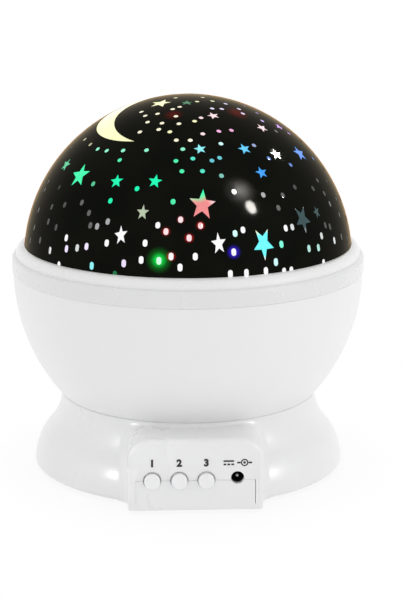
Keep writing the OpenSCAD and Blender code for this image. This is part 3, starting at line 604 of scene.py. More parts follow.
# Light that the lamps throw on the windows: broad zones, then single windows
ZONE_GLOWS = (
    Glow(0, 8, 58, Tint.WHITE, fade=0.04),
    Glow(-60, 43, 14, Tint.MINT, fade=0.2),
    Glow(-34, 42, 15, Tint.MINT, fade=0.2),
    Glow(-10, 43, 13, Tint.MINT, fade=0.2),
    Glow(4, 45, 9, Tint.TEAL, fade=0.3),
    Glow(38, 46, 13, Tint.SKY, fade=0.3),
    Glow(66, 45, 10, Tint.DEEP_BLUE, fade=0.3),
    Glow(0, 90, 38.5, Tint.CROWN, fade=0.04),
    Glow(24, 62, 9, Tint.ROSE_WHITE, fade=0.4),
    Glow(62, 66, 13, Tint.LAVENDER, fade=0.3),
)
WINDOW_GLOWS = (
    *spots(Tint.CROWN, 4.0, (-52, 69), (-42, 67), (-34, 63.5), (-34, 58), (-32, 69)),
    *spots(Tint.CROWN, 2.6, (-9, 63.5), (-22, 63.5), (-22, 60), (-13, 68), (-20, 73), (-13, 75)),
    *spots(Tint.LILAC_WHITE, 2.4, (27, 73), (38, 72), (60, 70), (58, 75), (54, 67), (-39, 14),
           (-48, 12), (-24, 10)),
    *spots(Tint.DULL_LAVENDER, 2.4, (75, 65), (82, 70), (84, 55)),
    *spots(Tint.ROSE_WHITE, 2.4, (9, 67), (7, 58), (-5, 25), (2, 23), (-10, 21), (-2, 19)),
    *spots(Tint.ROSE_WHITE, 3.4, (21, 68), (53, 58)),
    *spots(Tint.PINK, 2.4, (18, 59), (27, 59)),
    *spots(Tint.VIOLET, 2.6, (74, 56), (76, 52)),
    *spots(Tint.DIM, 1.8, (63, 55)),
    *spots(Tint.DARK_GREEN, 3.6, (-4, 79)),
    *spots(Tint.ICE_WHITE, 2.2, (16, 53)),
    *spots(Tint.TEAL_BLUE, 2.2, (9, 46), (13, 47)),
    *spots(Tint.DULL_CREAM, 2.4, (-74, 50), (-63, 49)),
    *spots(Tint.PALE_MINT, 2.4, (-54, 48), (-47, 48), (-37, 49), (-24, 50), (-5, 51)),
    *spots(Tint.MINT, 2.2, (-5, 42), (-8, 46)),
    *spots(Tint.SKY, 3.3, (28, 50)),
    *spots(Tint.PALE_CYAN, 3.2, (4, 51)),
    *spots(Tint.MIST_BLUE, 2.0, (35, 51)),
    *spots(Tint.BLUE, 3.0, (31, 40)),
    *spots(Tint.DEEP_BLUE, 4.6, (64, 44)),
    *spots(Tint.GREEN_WHITE, 3.3, (45, 46)),
    *spots(Tint.DULL_BLUE, 2.2, (39, 45), (50, 41)),
    *spots(Tint.DULL_TEAL, 2.2, (12, 40)),
    *spots(Tint.LEAF, 5.4, (-54, 37)),
    *spots(Tint.EMERALD, 3.4, (-33, 37), (-16, 38)),
    *spots(Tint.DULL_GREEN, 3.6, (-70, 39)),
    *spots(Tint.DULL_GREEN, 2.2, (-44, 35)),
    *spots(Tint.EMERALD, 2.2, (-23, 35), (-33, 30)),
    *spots(Tint.MINT, 2.2, (-8, 31)),
    *spots(Tint.BRIGHT_MINT, 2.2, (31, 15)),
    *spots(Tint.GREY, 2.2, (28, 32), (-32, 23), (-36, 21)),
    *spots(Tint.SILVER, 2.2, (16, 34), (37, 20), (51, 15), (59, 12), (-43, 13)),
    *spots(Tint.DIM, 2.2, (37, 31), (33, 27), (-46, 28), (-41, 25), (-39, 21), (64, 24)),
    *spots(Tint.FAINT, 2.4, (45, 33), (56, 31), (63, 33), (-55, 26), (-63, 24), (-62, 19),
           (-56, 18), (55, 18), (58, 17), (63, 28)),
    *spots(Tint.UNLIT, 2.4, (-64, 31)),
    *spots(Tint.SAGE, 3.0, (-19, 27)),
    Glow(3.6, 28.6, 6.6, Tint.SALMON, fade=0.35),
    Glow(1.4, 35.6, 5.4, Tint.LEAF, fade=0.55),
    Glow(7.4, 30.8, 2.2, Tint.ROSE_WHITE, 0.7, 0.9),
    *spots(Tint.CYAN, 5.0, (24, 16)),
    Glow(21.6, 20.6, 2.6, Tint.CREAM, 0.9, 0.9),
    Glow(27.4, 20.4, 2.4, Tint.CREAM, 0.8, 0.9),
    *spots(Tint.SLATE, 4.8, (43, 22)),
    *spots(Tint.SLATE, 2.8, (52, 23)),
    Glow(43, 17.4, 2.0, Tint.GREY, 0.9, 0.8),
    *spots(Tint.PALE_TEAL, 2.0, (43, 12), (48, 11.5)),
    *spots(Tint.ICE_WHITE, 2.0, (28, 9.5), (14, 20)),
    *spots(Tint.PALE_CYAN, 2.2, (-36, 8)),
    *spots(Tint.DARK_GREEN, 2.0, (-27, 6)),
    *spots(Tint.LAMP_GREEN, 2.2, (-12, 11.5)),
)

# The moon's own light, where the pattern doesn't repeat
MOON_GLOW = (Glow(-47, 75, 23.6, Tint.CREAM, fade=0.04),)

# Painted glows of the lamps' light on the black print
PAINTED_PRINT_GLOWS = (
    Glow(-12, 11.7, 4.8, Tint.HALO_GREEN, 0.75, 1.0),
    Glow(-12, 11.7, 2.9, Tint.CORE_GREEN, 0.85, 1.0),
    Glow(13, 14, 2.7, Tint.HALO_BLUE, 0.9, 0.9),
    Glow(-2, 19, 1.9, Tint.HALO_RED, 0.9, 0.9),
    Glow(-8, 13, 1.9, Tint.HALO_RED, 0.75, 0.9),
    Glow(-10, 21, 1.8, Tint.HALO_RED, 0.7, 0.9),
    Glow(2, 23, 1.8, Tint.HALO_RED, 0.7, 0.9),
    Glow(-5, 25, 1.6, Tint.HALO_RED, 0.35, 0.9),
    Glow(-16, 69, 4, Tint.HALO_RED, 0.12, 1.0),
    Glow(49, 68, 5, Tint.HALO_RED, 0.14, 1.0),
)


@dataclass(frozen=True)
class WindowLens:
    """The lit windows: each takes the colour of the lamp that shines through it."""

    centre_z: float
    name: str = "lit_window"

    def build(self, shelf: ShaderShelf) -> Material:
        """Builds the material."""
        material, graph, shader = shelf.start(self.name)
        folded = dome_direction(graph, self.centre_z)
        unfolded = dome_direction(graph, self.centre_z, folded=False)
        colour = paint_glows(shelf, graph, folded, Tint.FAINT.light(), ZONE_GLOWS)
        colour = paint_glows(shelf, graph, unfolded, colour, MOON_GLOW)
        colour = paint_glows(shelf, graph, folded, colour, WINDOW_GLOWS)
        back = graph.maths("GREATER_THAN", graph.split(unfolded)["Y"], 0.0)
        behind = paint_glows(shelf, graph, unfolded, colour, MOON_GLOW)
        colour = graph.mix(back, colour, behind)
        uneven = graph.ramp(graph.noise(420.0), 0.3, 0.7, 0.86, 1.0)
        grain = shelf.place(graph, "mould_grain", Grain_Scale=2500.0, Grain_Depth=0.000003)
        graph.plug(shader, Emission_Color=graph.mix(uneven, BLACK, colour), Emission_Strength=1.0,
                   Base_Color=graph.mix(0.9, colour, BLACK), Normal=grain["Normal"],
                   Roughness=graph.ramp(grain["Flow"], 0.0, 1.0, 0.12, 0.18),
                   Specular_IOR_Level=0.2)
        return material


@dataclass(frozen=True)
class BlackPrint:
    """The dome's glossy black print, with glows of the lamps' light painted on it."""

    centre_z: float
    name: str = "black_mask"

    def build(self, shelf: ShaderShelf) -> Material:
        """Builds the material."""
        material, graph, shader = shelf.start(self.name)
        direction = dome_direction(graph, self.centre_z)
        cloud = graph.ramp(graph.noise(60.0, detail=3.0), 0.35, 0.65, 0.0, 1.0, smooth=True)
        grain = shelf.place(graph, "mould_grain", Grain_Scale=700.0, Grain_Depth=0.000003)
        handling = shelf.place(graph, "handling", Dust=0.5, Rub=0.0)
        smooth = graph.ramp(grain["Flow"], 0.0, 1.0, 0.07, 0.10)
        dusty = graph.maths("MULTIPLY", handling["Dust Mask"], 0.05)
        # The emission paints glows of the lamps' light on the print, as halos round the lit windows
        graph.plug(shader, Base_Color=graph.mix(cloud, linear(9, 10, 8), linear(14, 13, 10)),
                   Emission_Color=paint_glows(shelf, graph, direction, linear(5, 7, 5),
                                              PAINTED_PRINT_GLOWS),
                   Emission_Strength=1.0, Roughness=graph.maths("ADD", smooth, dusty),
                   Normal=grain["Normal"], IOR=1.06)
        graph.plug(shader, Coat_Weight=1.0, Coat_Roughness=0.06, Coat_IOR=1.0,
                   Coat_Tint=(1.0, 0.97, 0.915, 1.0))
        return material


# --------------------------------------------------------------- modelling


class Bench:
    """Operators for modelling as by hand, with nothing left selected."""

    @staticmethod
    def clear() -> None:
        """Deselects every object."""
        for obj in bpy.context.view_layer.objects:
            obj.select_set(False)

    @staticmethod
    def take(obj: Object) -> None:
        """Selects one object alone and makes it active."""
        Bench.clear()
        obj.select_set(True)
        bpy.context.view_layer.objects.active = obj

    @staticmethod
    def named(name: str) -> Object:
        """Names the active object and settles its place in its mesh."""
        obj = bpy.context.active_object
        obj.name = name
        obj.data.name = name
        Bench.take(obj)
        bpy.ops.object.transform_apply(location=True, rotation=True, scale=True)
        return obj

    @staticmethod
    @contextmanager
    def editing(obj: Object) -> Iterator[None]:
        """Holds an object in edit mode, with all of it selected."""
        Bench.take(obj)
        bpy.ops.object.mode_set(mode="EDIT")
        bpy.ops.mesh.select_all(action="SELECT")
        yield
        bpy.ops.object.mode_set(mode="OBJECT")

    @staticmethod
    def apply(obj: Object, kind: str, **settings: object) -> None:
        """Adds a modifier to an object and applies it.

        Args:
            obj: The object to change.
            kind: Blender's name of the modifier type.
            settings: Properties to set on the modifier.
        """
        Bench.take(obj)
        modifier = obj.modifiers.new(kind.lower(), kind)
        for name, value in settings.items():
            setattr(modifier, name, value)
        bpy.ops.object.modifier_apply(modifier=modifier.name)

    @staticmethod
    def join(pieces: list[Object], name: str) -> Object:
        """Joins pieces into one object.

        Args:
            pieces: The objects to join.
            name: Name of the joined object.

        Returns:
            The joined object.
        """
        Bench.clear()
        for piece in pieces:
            piece.select_set(True)
        bpy.context.view_layer.objects.active = pieces[0]
        bpy.ops.object.join()
        return Bench.named(name)

    @staticmethod
    def block(name: str, centre: tuple, size: tuple, round_by: float = 0.0) -> Object:
        """Adds a block with rounded edges.

        Args:
            name: Name of the block.
            centre: Its centre.
            size: Its size along each axis.
            round_by: Radius of its edges.

        Returns:
            The block.
        """
        Bench.clear()
        bpy.ops.mesh.primitive_cube_add(size=1.0, location=centre, scale=size)
        obj = Bench.named(name)
        if round_by:
            Bench.apply(obj, "BEVEL", width=round_by, segments=3, limit_method="NONE")
        return obj

    @staticmethod
    def merged_copy(node: str, name: str) -> Object:
        """Copies a CAD node's mesh and merges its loose triangles.

        Args:
            node: Name of the CAD node.
            name: Name of the copy.

        Returns:
            The copy.
        """
        copy = bpy.data.objects.new(name, bpy.data.objects[node].data.copy())
        copy.data.name = name
        bpy.context.scene.collection.objects.link(copy)
        with Bench.editing(copy):
            bpy.ops.mesh.remove_doubles(threshold=1e-7)
        return copy

    @staticmethod
    def polished(node: str, name: str) -> Object:
        """Makes a copy of a moulding that shades evenly over its flats and roundings.

        Args:
            node: Name of the CAD node that it stands for.
            name: Name of the copy.

        Returns:
            The copy.
        """
        copy = Bench.merged_copy(node, name)
        bpy.ops.mesh.customdata_custom_splitnormals_clear()
        bpy.ops.object.shade_smooth_by_angle(angle=math.radians(32))
        Bench.apply(copy, "WEIGHTED_NORMAL", keep_sharp=True, weight=100)
        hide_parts(node)
        return copy

    @staticmethod
    def dress(obj: Object, material: Material, body: str, slot: str) -> None:
        """Gives a piece its material and its body.

        Args:
            obj: The piece.
            material: Its finish.
            body: The body it rides on.
            slot: Not used.
        """
        obj.data.materials.clear()
        obj.data.materials.append(material)
        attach(obj, body)
        log.info("%s: %d faces on %s", obj.name, len(obj.data.polygons), body)


# ------------------------------------------------------------ sub-assemblies


@dataclass
class StarDome:
    """The dome's windows, seated in the openings of its black mask."""

    radius: float
    centre_z: float
    seat_z: float
    sink: float = 0.10 * MM
    thickness: float = 0.20 * MM
    rings: int = 160

    def build_lenses(self) -> Object:
        """Makes a thin shell under the print and keeps it only in the windows."""
        Bench.clear()
        bpy.ops.mesh.primitive_uv_sphere_add(
            segments=2 * self.rings, ring_count=self.rings, radius=self.radius - self.sink,
            location=(0.0, 0.0, self.centre_z))
        lenses = Bench.named("window_lenses")
        with Bench.editing(lenses):
            bpy.ops.mesh.bisect(plane_co=(0.0, 0.0, self.seat_z), plane_no=(0.0, 0.0, 1.0),
                                clear_inner=True)
        Bench.apply(lenses, "SOLIDIFY", thickness=self.thickness, offset=-1.0)
        cutter = Bench.merged_copy("star_mask", "mask_cutter")
        Bench.apply(lenses, "BOOLEAN", operation="DIFFERENCE", solver="MANIFOLD", object=cutter)
        bpy.data.objects.remove(cutter)
        Bench.take(lenses)
        bpy.ops.object.shade_smooth_by_angle(angle=math.radians(40))
        return lenses


@dataclass
class PodBlend:
    """The soft hollow by which the control pod flows into the flared base.

    A ball rolls along the corner between the pod's outline and the flare, and the blend is the
    skin that it touches. The ball is large at the pod's sides and small under the bowl.
    """

    pod_half: float
    pod_low: float
    pod_high: float
    corner: float
    neck_r: float
    neck_z: float
    base_r: float
    side_ball: float = 6.5 * MM
    headroom: float = 0.2 * MM
    root: float = 0.3 * MM
    root_depth: float = 0.5 * MM
    steps: int = 18
    side_steps: int = 16
    corner_steps: int = 32
    top_steps: int = 24

    def __post_init__(self) -> None:
        """Works out the two arcs of the flare's outline."""
        rise, run = self.neck_z - self.pod_low, self.base_r - self.neck_r
        self.flare_r = (rise ** 2 + run ** 2) / (4 * run)
        self.hollow = (self.neck_r + self.flare_r, self.neck_z)
        self.full = (self.base_r - self.flare_r, self.pod_low)

    def outline(self) -> list[tuple[float, float, float, float]]:
        """Lists places along the pod's outline, from its right foot over the top to its left.

        Returns:
            For each place x, z and the outline's outward direction.
        """
        spring = self.pod_high - self.corner
        rise = (spring - self.pod_low) / self.side_steps
        side = [(self.pod_half, self.pod_low + rise * i, 1.0, 0.0) for i in range(self.side_steps)]
        arc_x = self.pod_half - self.corner
        for i in range(self.corner_steps + 1):
            turn = math.pi / 2 * i / self.corner_steps
            across, up = math.cos(turn), math.sin(turn)
            side.append((arc_x + self.corner * across, spring + self.corner * up, across, up))
        top = [(arc_x * (1 - 2 * i / self.top_steps), self.pod_high, 0.0, 1.0)
               for i in range(1, self.top_steps)]
        left = [(-x, z, -across, up) for x, z, across, up in reversed(side)]
        return side + top + left

    def ball(self, z: float, up: float) -> float:
        """Gives the ball's radius where the outline is at z and faces up by that much."""
        if up < 0.05:
            return self.side_ball
        limit = (self.neck_z - self.headroom - z) / up
        return (self.side_ball ** -5 + limit ** -5) ** -0.2

    def flare_at(self, z: float, lift: float) -> tuple[float, float, float]:
        """Gives the flare's radius at a height, lifted off its skin, and its outward direction.

        Args:
            z: The height.
            lift: Distance from the skin.

        Returns:
            The radius, then the direction's parts away from the axis and up.
        """
        reach = self.flare_r + lift
        join_z = self.full[1] + (self.hollow[1] - self.full[1]) * reach / (2 * self.flare_r)
        if z < join_z:
            out = math.sqrt(reach ** 2 - (z - self.full[1]) ** 2)
            return self.full[0] + out, out / reach, (z - self.full[1]) / reach
        reach = self.flare_r - lift
        out = math.sqrt(reach ** 2 - (self.hollow[1] - z) ** 2)
        return self.hollow[0] - out, out / reach, (self.hollow[1] - z) / reach

    def section(self, place: tuple[float, float, float, float]) -> list[Vector]:
        """Gives one closed section of the blend.

        Args:
            place: A place on the outline, as outline() gives it.

        Returns:
            The points from the pod's skin to the flare's, then the hidden corner.
        """
        x, z, across, up = place
        ball = self.ball(z, up)
        pod_out = Vector((across, 0.0, up))
        centre = Vector((x, 0.0, z)) + pod_out * ball
        radius, away, rise = self.flare_at(centre.z, ball)
        centre.y = -math.sqrt(radius ** 2 - centre.x ** 2)
        flare_out = Vector((away * centre.x / radius, away * centre.y / radius, rise))
        points = [centre + ball * (-pod_out).slerp(-flare_out, i / self.steps)
                  for i in range(self.steps + 1)]
        inner = Vector((x - self.root * across, 0.0, z - self.root * up))
        skin_y = -math.sqrt(self.flare_at(inner.z, 0.0)[0] ** 2 - inner.x ** 2)
        inner.y = skin_y + self.root_depth
        return points + [inner]

    def build(self) -> Object:
        """Makes the blend from a grid that is wrapped round its sections."""
        sections = [self.section(place) for place in self.outline()]
        around = len(sections[0])
        Bench.clear()
        bpy.ops.mesh.primitive_grid_add(x_subdivisions=around, y_subdivisions=len(sections) - 1,
                                        size=1.0)
        blend = Bench.named("pod_blend")
        for number, vertex in enumerate(blend.data.vertices):
            row, column = divmod(number, around + 1)
            vertex.co = sections[row][column % around]
        with Bench.editing(blend):
            bpy.ops.mesh.remove_doubles(threshold=1e-6)
            bpy.ops.mesh.fill_holes(sides=0)
            bpy.ops.mesh.select_all(action="SELECT")
            bpy.ops.mesh.normals_make_consistent(inside=False)
        bpy.ops.object.shade_smooth_by_angle(angle=math.radians(35))
        return blend


@dataclass
class SeamParts:
    """Narrow moulded parts that close the seams: a bead under the bowl, a rib by the cover."""

    neck_r: float
    neck_z: float
    rib_x: float
    face_y: float
    rib_low: float
    rib_high: float
    rib_width: float = 0.16 * MM
    rib_depth: float = 0.9 * MM
    rib_round: float = 0.03 * MM
    bead_r: float = 0.45 * MM
    inset: float = 0.55 * MM

    def bead(self) -> Object:
        """Makes the low rounded bead on which the base's neck ends."""
        Bench.clear()
        bpy.ops.mesh.primitive_torus_add(
            location=(0.0, 0.0, self.neck_z), major_radius=self.neck_r - self.inset,
            minor_radius=self.bead_r, major_segments=192, minor_segments=12)
        bpy.ops.transform.resize(value=(1.0, 1.0, 0.5))
        bead = Bench.named("neck_bead")
        bpy.ops.object.shade_smooth_by_angle(angle=math.radians(60))
        return bead

    def rib(self) -> Object:
        """Makes the thin rib in the gap on the cover's left."""
        centre = (self.rib_x, self.face_y + self.inset, (self.rib_low + self.rib_high) / 2)
        size = (self.rib_width, self.rib_depth, self.rib_high - self.rib_low)
        return Bench.block("cover_rib", centre, size, self.rib_round)


@dataclass
class PodMarks:
    """Printed marks on the control pod: plain numbers and a direct-current symbol."""

    face_y: float
    jack_x: float
    mark_z: float = 18.65 * MM
    height: float = 2.5 * MM
    ink: float = 0.05 * MM
    line: float = 0.62 * MM
    bar_x: float = -3.1 * MM
    bar_width: float = 3.7 * MM
    bar_rise: float = 0.6 * MM
    dash_width: float = 1.0 * MM
    dash_pitch: float = 1.35 * MM
    lead_x: float = 2.0 * MM
    lead_width: float = 1.2 * MM
    ring_x: float = 2.4 * MM
    ring_line: float = 0.24 * MM
    ring_radii: tuple = (1.1 * MM, 0.24 * MM)

    def number(self, text: str, x: float) -> Object:
        """Prints one number on the pod's face.

        Args:
            text: The number.
            x: Its centre across the pod.

        Returns:
            The printed number as a mesh.
        """
        Bench.clear()
        bpy.ops.object.text_add()
        mark = bpy.context.active_object
        mark.data.body = text
        mark.data.align_x = "CENTER"
        mark.data.align_y = "CENTER"
        mark.data.size = self.height / 0.72
        mark.data.offset = 0.085 * self.height
        mark.data.extrude = self.ink / 2
        mark.data.resolution_u = 6
        mark.rotation_euler = (math.radians(90), 0.0, 0.0)
        mark.location = (x, self.face_y, self.mark_z)
        bpy.ops.object.convert(target="MESH")
        return Bench.named("button_number_" + text)

    def bar(self, name: str, x: float, rise: float, width: float) -> Object:
        """Prints a flat bar on the pod's face, by so much above the middle of the marks."""
        centre = (x, self.face_y, self.mark_z + rise)
        return Bench.block(name, centre, (width, self.ink, self.line))

    def current_symbol(self) -> Object:
        """Prints a line over three dashes, then the plug's polarity."""
        left, ring_x = self.jack_x + self.bar_x, self.jack_x + self.ring_x
        bars = [self.bar("bar", left, self.bar_rise, self.bar_width)]
        bars += [self.bar("dash", left + step * self.dash_pitch, -self.bar_rise, self.dash_width)
                 for step in (-1, 0, 1)]
        bars += [self.bar("lead", ring_x + side * self.lead_x, 0.0, self.lead_width)
                 for side in (-1, 1)]
        for radius in self.ring_radii:
            Bench.clear()
            bpy.ops.mesh.primitive_torus_add(
                location=(ring_x, self.face_y, self.mark_z), rotation=(math.radians(90), 0.0, 0.0),
                major_radius=radius, minor_radius=self.ring_line, major_segments=40,
                minor_segments=8)
            bpy.ops.transform.resize(value=(1.0, self.ink / (2 * self.ring_line), 1.0))
            bars.append(Bench.named("ring"))
        return Bench.join(bars, "inlet_symbol")


@dataclass
class LampDeck:
    """Small parts on the lamps' board: chip resistors and soldered wire ends."""

    board_z: float
    resistor_ring: float = 7.4 * MM
    resistor_size: tuple = (2.0 * MM, 1.25 * MM, 0.6 * MM)
    resistor_round: float = 0.08 * MM
    joint_ring: float = 4.2 * MM
    joint_r: float = 0.75 * MM
    joint_count: int = 5

    def resistors(self) -> Object:
        """Makes four chip resistors between the lamps."""
        chips = []
        for turn in (45, 135, 225, 315):
            away = Vector((math.cos(math.radians(turn)), math.sin(math.radians(turn)), 0.0))
            middle = (0.0, 0.0, self.board_z + self.resistor_size[2] / 2)
            chip = Bench.block("chip", middle, self.resistor_size, self.resistor_round)
            chip.rotation_euler = (0.0, 0.0, math.radians(turn))
            chip.location = self.resistor_ring * away
            chips.append(Bench.named("chip"))
        return Bench.join(chips, "chip_resistors")

    def joints(self) -> Object:
        """Makes the domes of solder round the wire hole."""
        domes = []
        for step in range(self.joint_count):
            turn = 2 * math.pi * (step + 0.5) / self.joint_count
            x, y = self.joint_ring * math.cos(turn), self.joint_ring * math.sin(turn)
            Bench.clear()
            bpy.ops.mesh.primitive_uv_sphere_add(
                segments=20, ring_count=10, radius=self.joint_r, location=(x, y, self.board_z))
            domes.append(Bench.named("solder"))
            with Bench.editing(domes[-1]):
                bpy.ops.mesh.bisect(plane_co=(0.0, 0.0, self.board_z), plane_no=(0.0, 0.0, 1.0),
                                    clear_inner=True, use_fill=True)
        joined = Bench.join(domes, "solder_joints")
        bpy.ops.object.shade_smooth_by_angle(angle=math.radians(50))
        return joined


# ------------------------------------------------------------------ studio


@dataclass(frozen=True)
class SoftBox:
    """A soft lamp: the way to it from what it faces, its distance and size, and its watts."""

    name: str
    away: tuple[float, float, float]
    distance: float
    size: tuple[float, float]
    power: float

    def hang(self, target: Vector, receivers: Collection | None = None) -> Object:
        """Hangs the lamp.

        Args:
            target: What it faces.
            receivers: The only pieces that it shines on.

        Returns:
            The lamp.
        """
        data = bpy.data.lights.new(self.name, "AREA")
        data.shape = "ELLIPSE"
        data.size, data.size_y = self.size
        data.energy = self.power
        lamp = bpy.data.objects.new(self.name, data)
        bpy.context.scene.collection.objects.link(lamp)
        away = Vector(self.away)
        lamp.location = target + away.normalized() * self.distance
        lamp.rotation_euler = (-away).to_track_quat("-Z", "Y").to_euler()
        if receivers:
            lamp.light_linking.receiver_collection = receivers
        return lamp

    def glint(self, target: Vector, receivers: Collection) -> Object:
        """Hangs the lamp so that it shows in gloss alone."""
        lamp = self.hang(target, receivers)
        lamp.visible_diffuse = False
        return lamp


@dataclass
class Studio:
    """The camera, the pale floor and the soft lamps."""

    lens: float = 115.7
    camera_at: tuple = (-0.0293, -0.6994, 0.2344)
    pitch_down: float = 0.242
    heading: float = 0.0485
    ambient: float = 0.965
    front_loss: float = 0.33
    key: SoftBox = SoftBox("key", (0.75, -0.55, 0.35), 1.2, (0.9, 0.9), 1.1)
    side: SoftBox = SoftBox("side", (-0.78, -0.52, 0.35), 0.5, (0.07, 0.07), 0.0008)
    side_spread: float = 8.0
    shines: tuple[SoftBox, ...] = (
        SoftBox("left_shine", (-0.80, -0.46, 0.38), 1.2, (0.25, 0.25), 3.0),
        SoftBox("right_shine", (0.86, -0.46, 0.38), 1.2, (0.25, 0.25), 3.0),
    )
    veil: SoftBox = SoftBox("veil", (0.506, -0.392, 0.768), 1.0, (0.42, 0.36), 110.0)
    glints: tuple[SoftBox, ...] = (
        SoftBox("glint", (0.621, -0.474, 0.625), 1.0, (0.11, 0.14), 38.0),
        SoftBox("rim_glint", (0.64, 0.404, 0.654), 1.0, (0.05, 0.09), 5.0),
    )

    def place_camera(self) -> None:
        """Places the camera at the photograph's viewing angle."""
        camera = bpy.data.objects.new("camera", bpy.data.cameras.new("camera"))
        bpy.context.scene.collection.objects.link(camera)
        camera.location = self.camera_at
        camera.rotation_euler = (math.pi / 2 - self.pitch_down, 0.0, -self.heading)
        camera.data.lens = self.lens
        camera.data.sensor_width = 36.0
        camera.data.clip_start = 0.01
        bpy.context.scene.camera = camera

    def light_world(self) -> None:
        """Makes the world white for what looks at it, and softer where it lights."""
        world = bpy.data.worlds.new("studio")
        world.use_nodes = True
        graph = Graph(world.node_tree)
        back = next(n for n in graph.tree.nodes if n.type == "BACKGROUND")
        facing = graph.split(graph.add("ShaderNodeTexCoord").outputs["Generated"])
        front = graph.maths("MAXIMUM", graph.maths("MULTIPLY", facing["Y"], -1.0), 0.0)
        loss = graph.maths("MULTIPLY", graph.maths("POWER", front, 2.0), self.front_loss)
        light = graph.maths("SUBTRACT", self.ambient, loss)
        graph.plug(back, Strength=graph.ramp(graph.seen(), 0.0, 1.0, light, 1.0),
                   Color=PURE_WHITE)
        bpy.context.scene.world = world

    def lay_floor(self) -> None:
        """Lays a white floor that keeps a faint shadow under the object."""
        Bench.clear()
        bpy.ops.mesh.primitive_plane_add(size=8.0, location=(0.0, 0.0, 0.0))
        floor = Bench.named("floor")
        material, graph, shader = ShaderShelf.start("floor_white")
        graph.plug(shader, Base_Color=(0.94, 0.94, 0.94, 1.0), Roughness=0.9,
                   Emission_Color=PURE_WHITE, Emission_Strength=0.10)
        shade = graph.plug(graph.add("ShaderNodeAmbientOcclusion", samples=12), Distance=0.04)
        shown = graph.plug(graph.add("ShaderNodeEmission"),
                           Strength=graph.ramp(shade.outputs["AO"], 0.0, 1.0, 0.92, 1.0))
        blend = graph.plug(graph.add("ShaderNodeMixShader"), Fac=graph.seen())
        graph.wire(shader.outputs["BSDF"], blend.inputs[1])
        graph.wire(shown.outputs["Emission"], blend.inputs[2])
        output = next(n for n in graph.tree.nodes if n.type == "OUTPUT_MATERIAL")
        graph.wire(blend.outputs["Shader"], output.inputs["Surface"])
        floor.data.materials.append(material)

    def hang_lamps(self, dome_centre: Vector, dome_pieces: list[Object],
                   base_pieces: list[Object]) -> None:
        """Hangs the key lamp, a low side lamp and the glints that show on the dome.

        Args:
            dome_centre: Centre of the dome.
            dome_pieces: What the glints shine on.
            base_pieces: What the side lamp shines on.
        """
        middle, pod = Vector((0.0, 0.0, 0.06)), Vector((-0.002, -0.062, 0.013))
        base = self.gathered("base_receivers", base_pieces)
        glossy = self.gathered("glint_receivers", dome_pieces)
        self.key.hang(middle)
        self.side.hang(pod, base).data.spread = math.radians(self.side_spread)
        for box in self.shines:
            box.glint(middle, base)
        self.soften(self.veil.glint(dome_centre, glossy))
        for box in self.glints:
            box.glint(dome_centre, glossy)

    @staticmethod
    def gathered(name: str, pieces: list[Object]) -> Collection:
        """Gathers pieces in a collection that a lamp shines on."""
        collection = bpy.data.collections.new(name)
        for piece in pieces:
            collection.objects.link(piece)
        return collection

    @staticmethod
    def soften(lamp: Object) -> None:
        """Makes a lamp fade from its middle to its edge."""
        lamp.data.use_nodes = True
        graph = Graph(lamp.data.node_tree)
        glow = next(n for n in graph.tree.nodes if n.type == "EMISSION")
        place = graph.add("ShaderNodeNewGeometry").outputs["Parametric"]
        fall = graph.ramp(graph.apart(place, (0.5, 0.5, 0.0)), 0.0, 0.5, 1.0, 0.0)
        graph.plug(glow, Strength=graph.maths("POWER", fall, 2.2))

    def set_view(self) -> None:
        """Shows colours about as they are written."""
        bpy.context.scene.view_settings.view_transform = "Standard"


# -------------------------------------------------------------------- main


def finishes(centre_z: float, lamp_z: float) -> dict[str, object]:
    """Lists the finish of each material slot.

    Args:
        centre_z: Height of the dome's centre.
        lamp_z: Height of the lamps' feet.

    Returns:
        The finishes by slot.
    """
    white, white_flow = linear(237, 237, 238), linear(235, 235, 235)
    listed = (
        MouldedPlastic("white_housing", white, white_flow, 0.30),
        MouldedPlastic("white_bowl", linear(238, 238, 238), linear(236, 237, 236), 0.34, coat=0.15),
        MouldedPlastic("white_rim", linear(230, 230, 231), linear(228, 228, 228), 0.26),
        MouldedPlastic("white_collar", linear(238, 238, 238), linear(236, 236, 236), 0.24),
        MouldedPlastic("button_cap", linear(240, 240, 241), linear(238, 238, 238), 0.26, dust=0.05),
        MouldedPlastic("black_plastic", linear(26, 26, 27), linear(32, 32, 33), 0.45, coat=0.0),
        MouldedPlastic("grey_rubber", linear(138, 138, 140), linear(126, 126, 129), 0.75,
                       grain_depth=0.00002, coat=0.0, dust=0.4),
        MouldedPlastic("gear_acetal", linear(232, 229, 218), linear(226, 222, 208), 0.42, coat=0.0),
        MouldedPlastic("wire_jacket", linear(44, 44, 47), linear(52, 52, 54), 0.55, coat=0.0),
        Metal("screw_steel", linear(196, 197, 200), 0.3),
        Metal("motor_steel", linear(190, 190, 188), 0.36, (1.0, 1.0, 6.0)),
        CircuitBoard(),
        CellJacket(),
        LampEpoxy("red_lamp", linear(226, 40, 30), lamp_z),
        LampEpoxy("green_lamp", linear(40, 226, 96), lamp_z),
        LampEpoxy("blue_lamp", linear(40, 84, 236), lamp_z),
        LampEpoxy("warm_lamp", linear(250, 238, 190), lamp_z),
        ClearShell(),
        BlackPrint(centre_z),
    )
    return {finish.name: finish for finish in listed}


# Mouldings that are shaded anew, with their body and slot
MOULDINGS = (
    ("base_housing", "base", "white_housing"),
    ("base_plate", "base", "white_housing"),
    ("bowl", "turntable", "white_bowl"),
    ("rim_ring", "turntable", "white_rim"),
    ("dome_collar", "dome", "white_collar"),
)


def dress_frame(frame: dict, materials: dict[str, Material]) -> None:
    """Gives every CAD node the material of its record slot.

    Args:
        frame: The loaded frame.
        materials: The materials by slot.
    """
    for part in frame["record"]["subparts"]:
        node = frame["nodes"][part["node"]]
        node.data.materials.clear()
        node.data.materials.append(materials[part["material_slot"]])
        log.info("%s takes %s", part["node"], part["material_slot"])


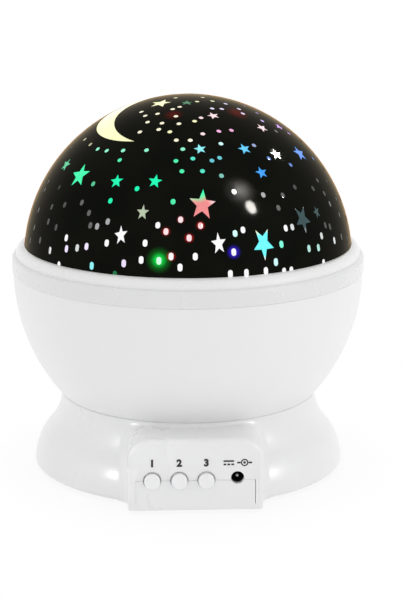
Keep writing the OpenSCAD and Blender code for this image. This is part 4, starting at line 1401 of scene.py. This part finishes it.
def main() -> None:
    """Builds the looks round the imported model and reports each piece."""
    logging.basicConfig(level=logging.INFO, format="%(name)s: %(message)s")
    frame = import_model()
    mask_low, mask_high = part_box("star_mask")
    housing_low, housing_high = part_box("base_housing")
    plate_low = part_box("base_plate")[0]
    centre_z = mask_high.z - mask_high.x

    shelf = ShaderShelf()
    listed = finishes(centre_z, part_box("red_led")[0].z)
    materials = {slot: finish.build(shelf) for slot, finish in listed.items()}
    dress_frame(frame, materials)

    shells = {}
    for node, body, slot in MOULDINGS:
        shells[node] = Bench.polished(node, node + "_shell")
        Bench.dress(shells[node], materials[slot], body, slot)

    lenses = StarDome(mask_high.x, centre_z, mask_low.z + 0.3 * MM).build_lenses()
    Bench.dress(lenses, WindowLens(centre_z).build(shelf), "dome", "clear_dome")

    blend = PodBlend(pod_half=23.7 * MM, pod_low=housing_low.z, pod_high=27.1 * MM,
                     corner=7.5 * MM, neck_r=NECK_RADIUS, neck_z=housing_high.z,
                     base_r=housing_high.x).build()
    seams = SeamParts(neck_r=NECK_RADIUS, neck_z=housing_high.z, rib_x=-20.9 * MM,
                      face_y=plate_low.y, rib_low=plate_low.z + 0.1 * MM, rib_high=12.2 * MM)
    centres = [sum(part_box(f"button_{n}"), Vector()) / 2 for n in (1, 2, 3)]
    pin = sum(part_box("jack_pin"), Vector()) / 2
    marks = PodMarks(face_y=plate_low.y, jack_x=pin.x)
    deck = LampDeck(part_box("led_board")[1].z)
    pieces = (
        ("white_housing", (blend, seams.bead(), seams.rib())),
        ("black_plastic", [marks.number(text, c.x) for text, c in zip("123", centres)]),
        ("black_plastic", (marks.current_symbol(), deck.resistors())),
        ("screw_steel", (deck.joints(),)),
    )
    for slot, group in pieces:
        for piece in group:
            Bench.dress(piece, materials[slot], "base", slot)

    nodes = frame["nodes"]
    buttons = [nodes[f"button_{n}"] for n in (1, 2, 3)]
    base_pieces = [shells["base_housing"], shells["base_plate"], *buttons, blend]
    studio = Studio()
    studio.place_camera()
    studio.light_world()
    studio.lay_floor()
    studio.hang_lamps(Vector((0.0, 0.0, centre_z)), [nodes["star_mask"], lenses], base_pieces)
    studio.set_view()


if __name__ == "__main__":
    main()
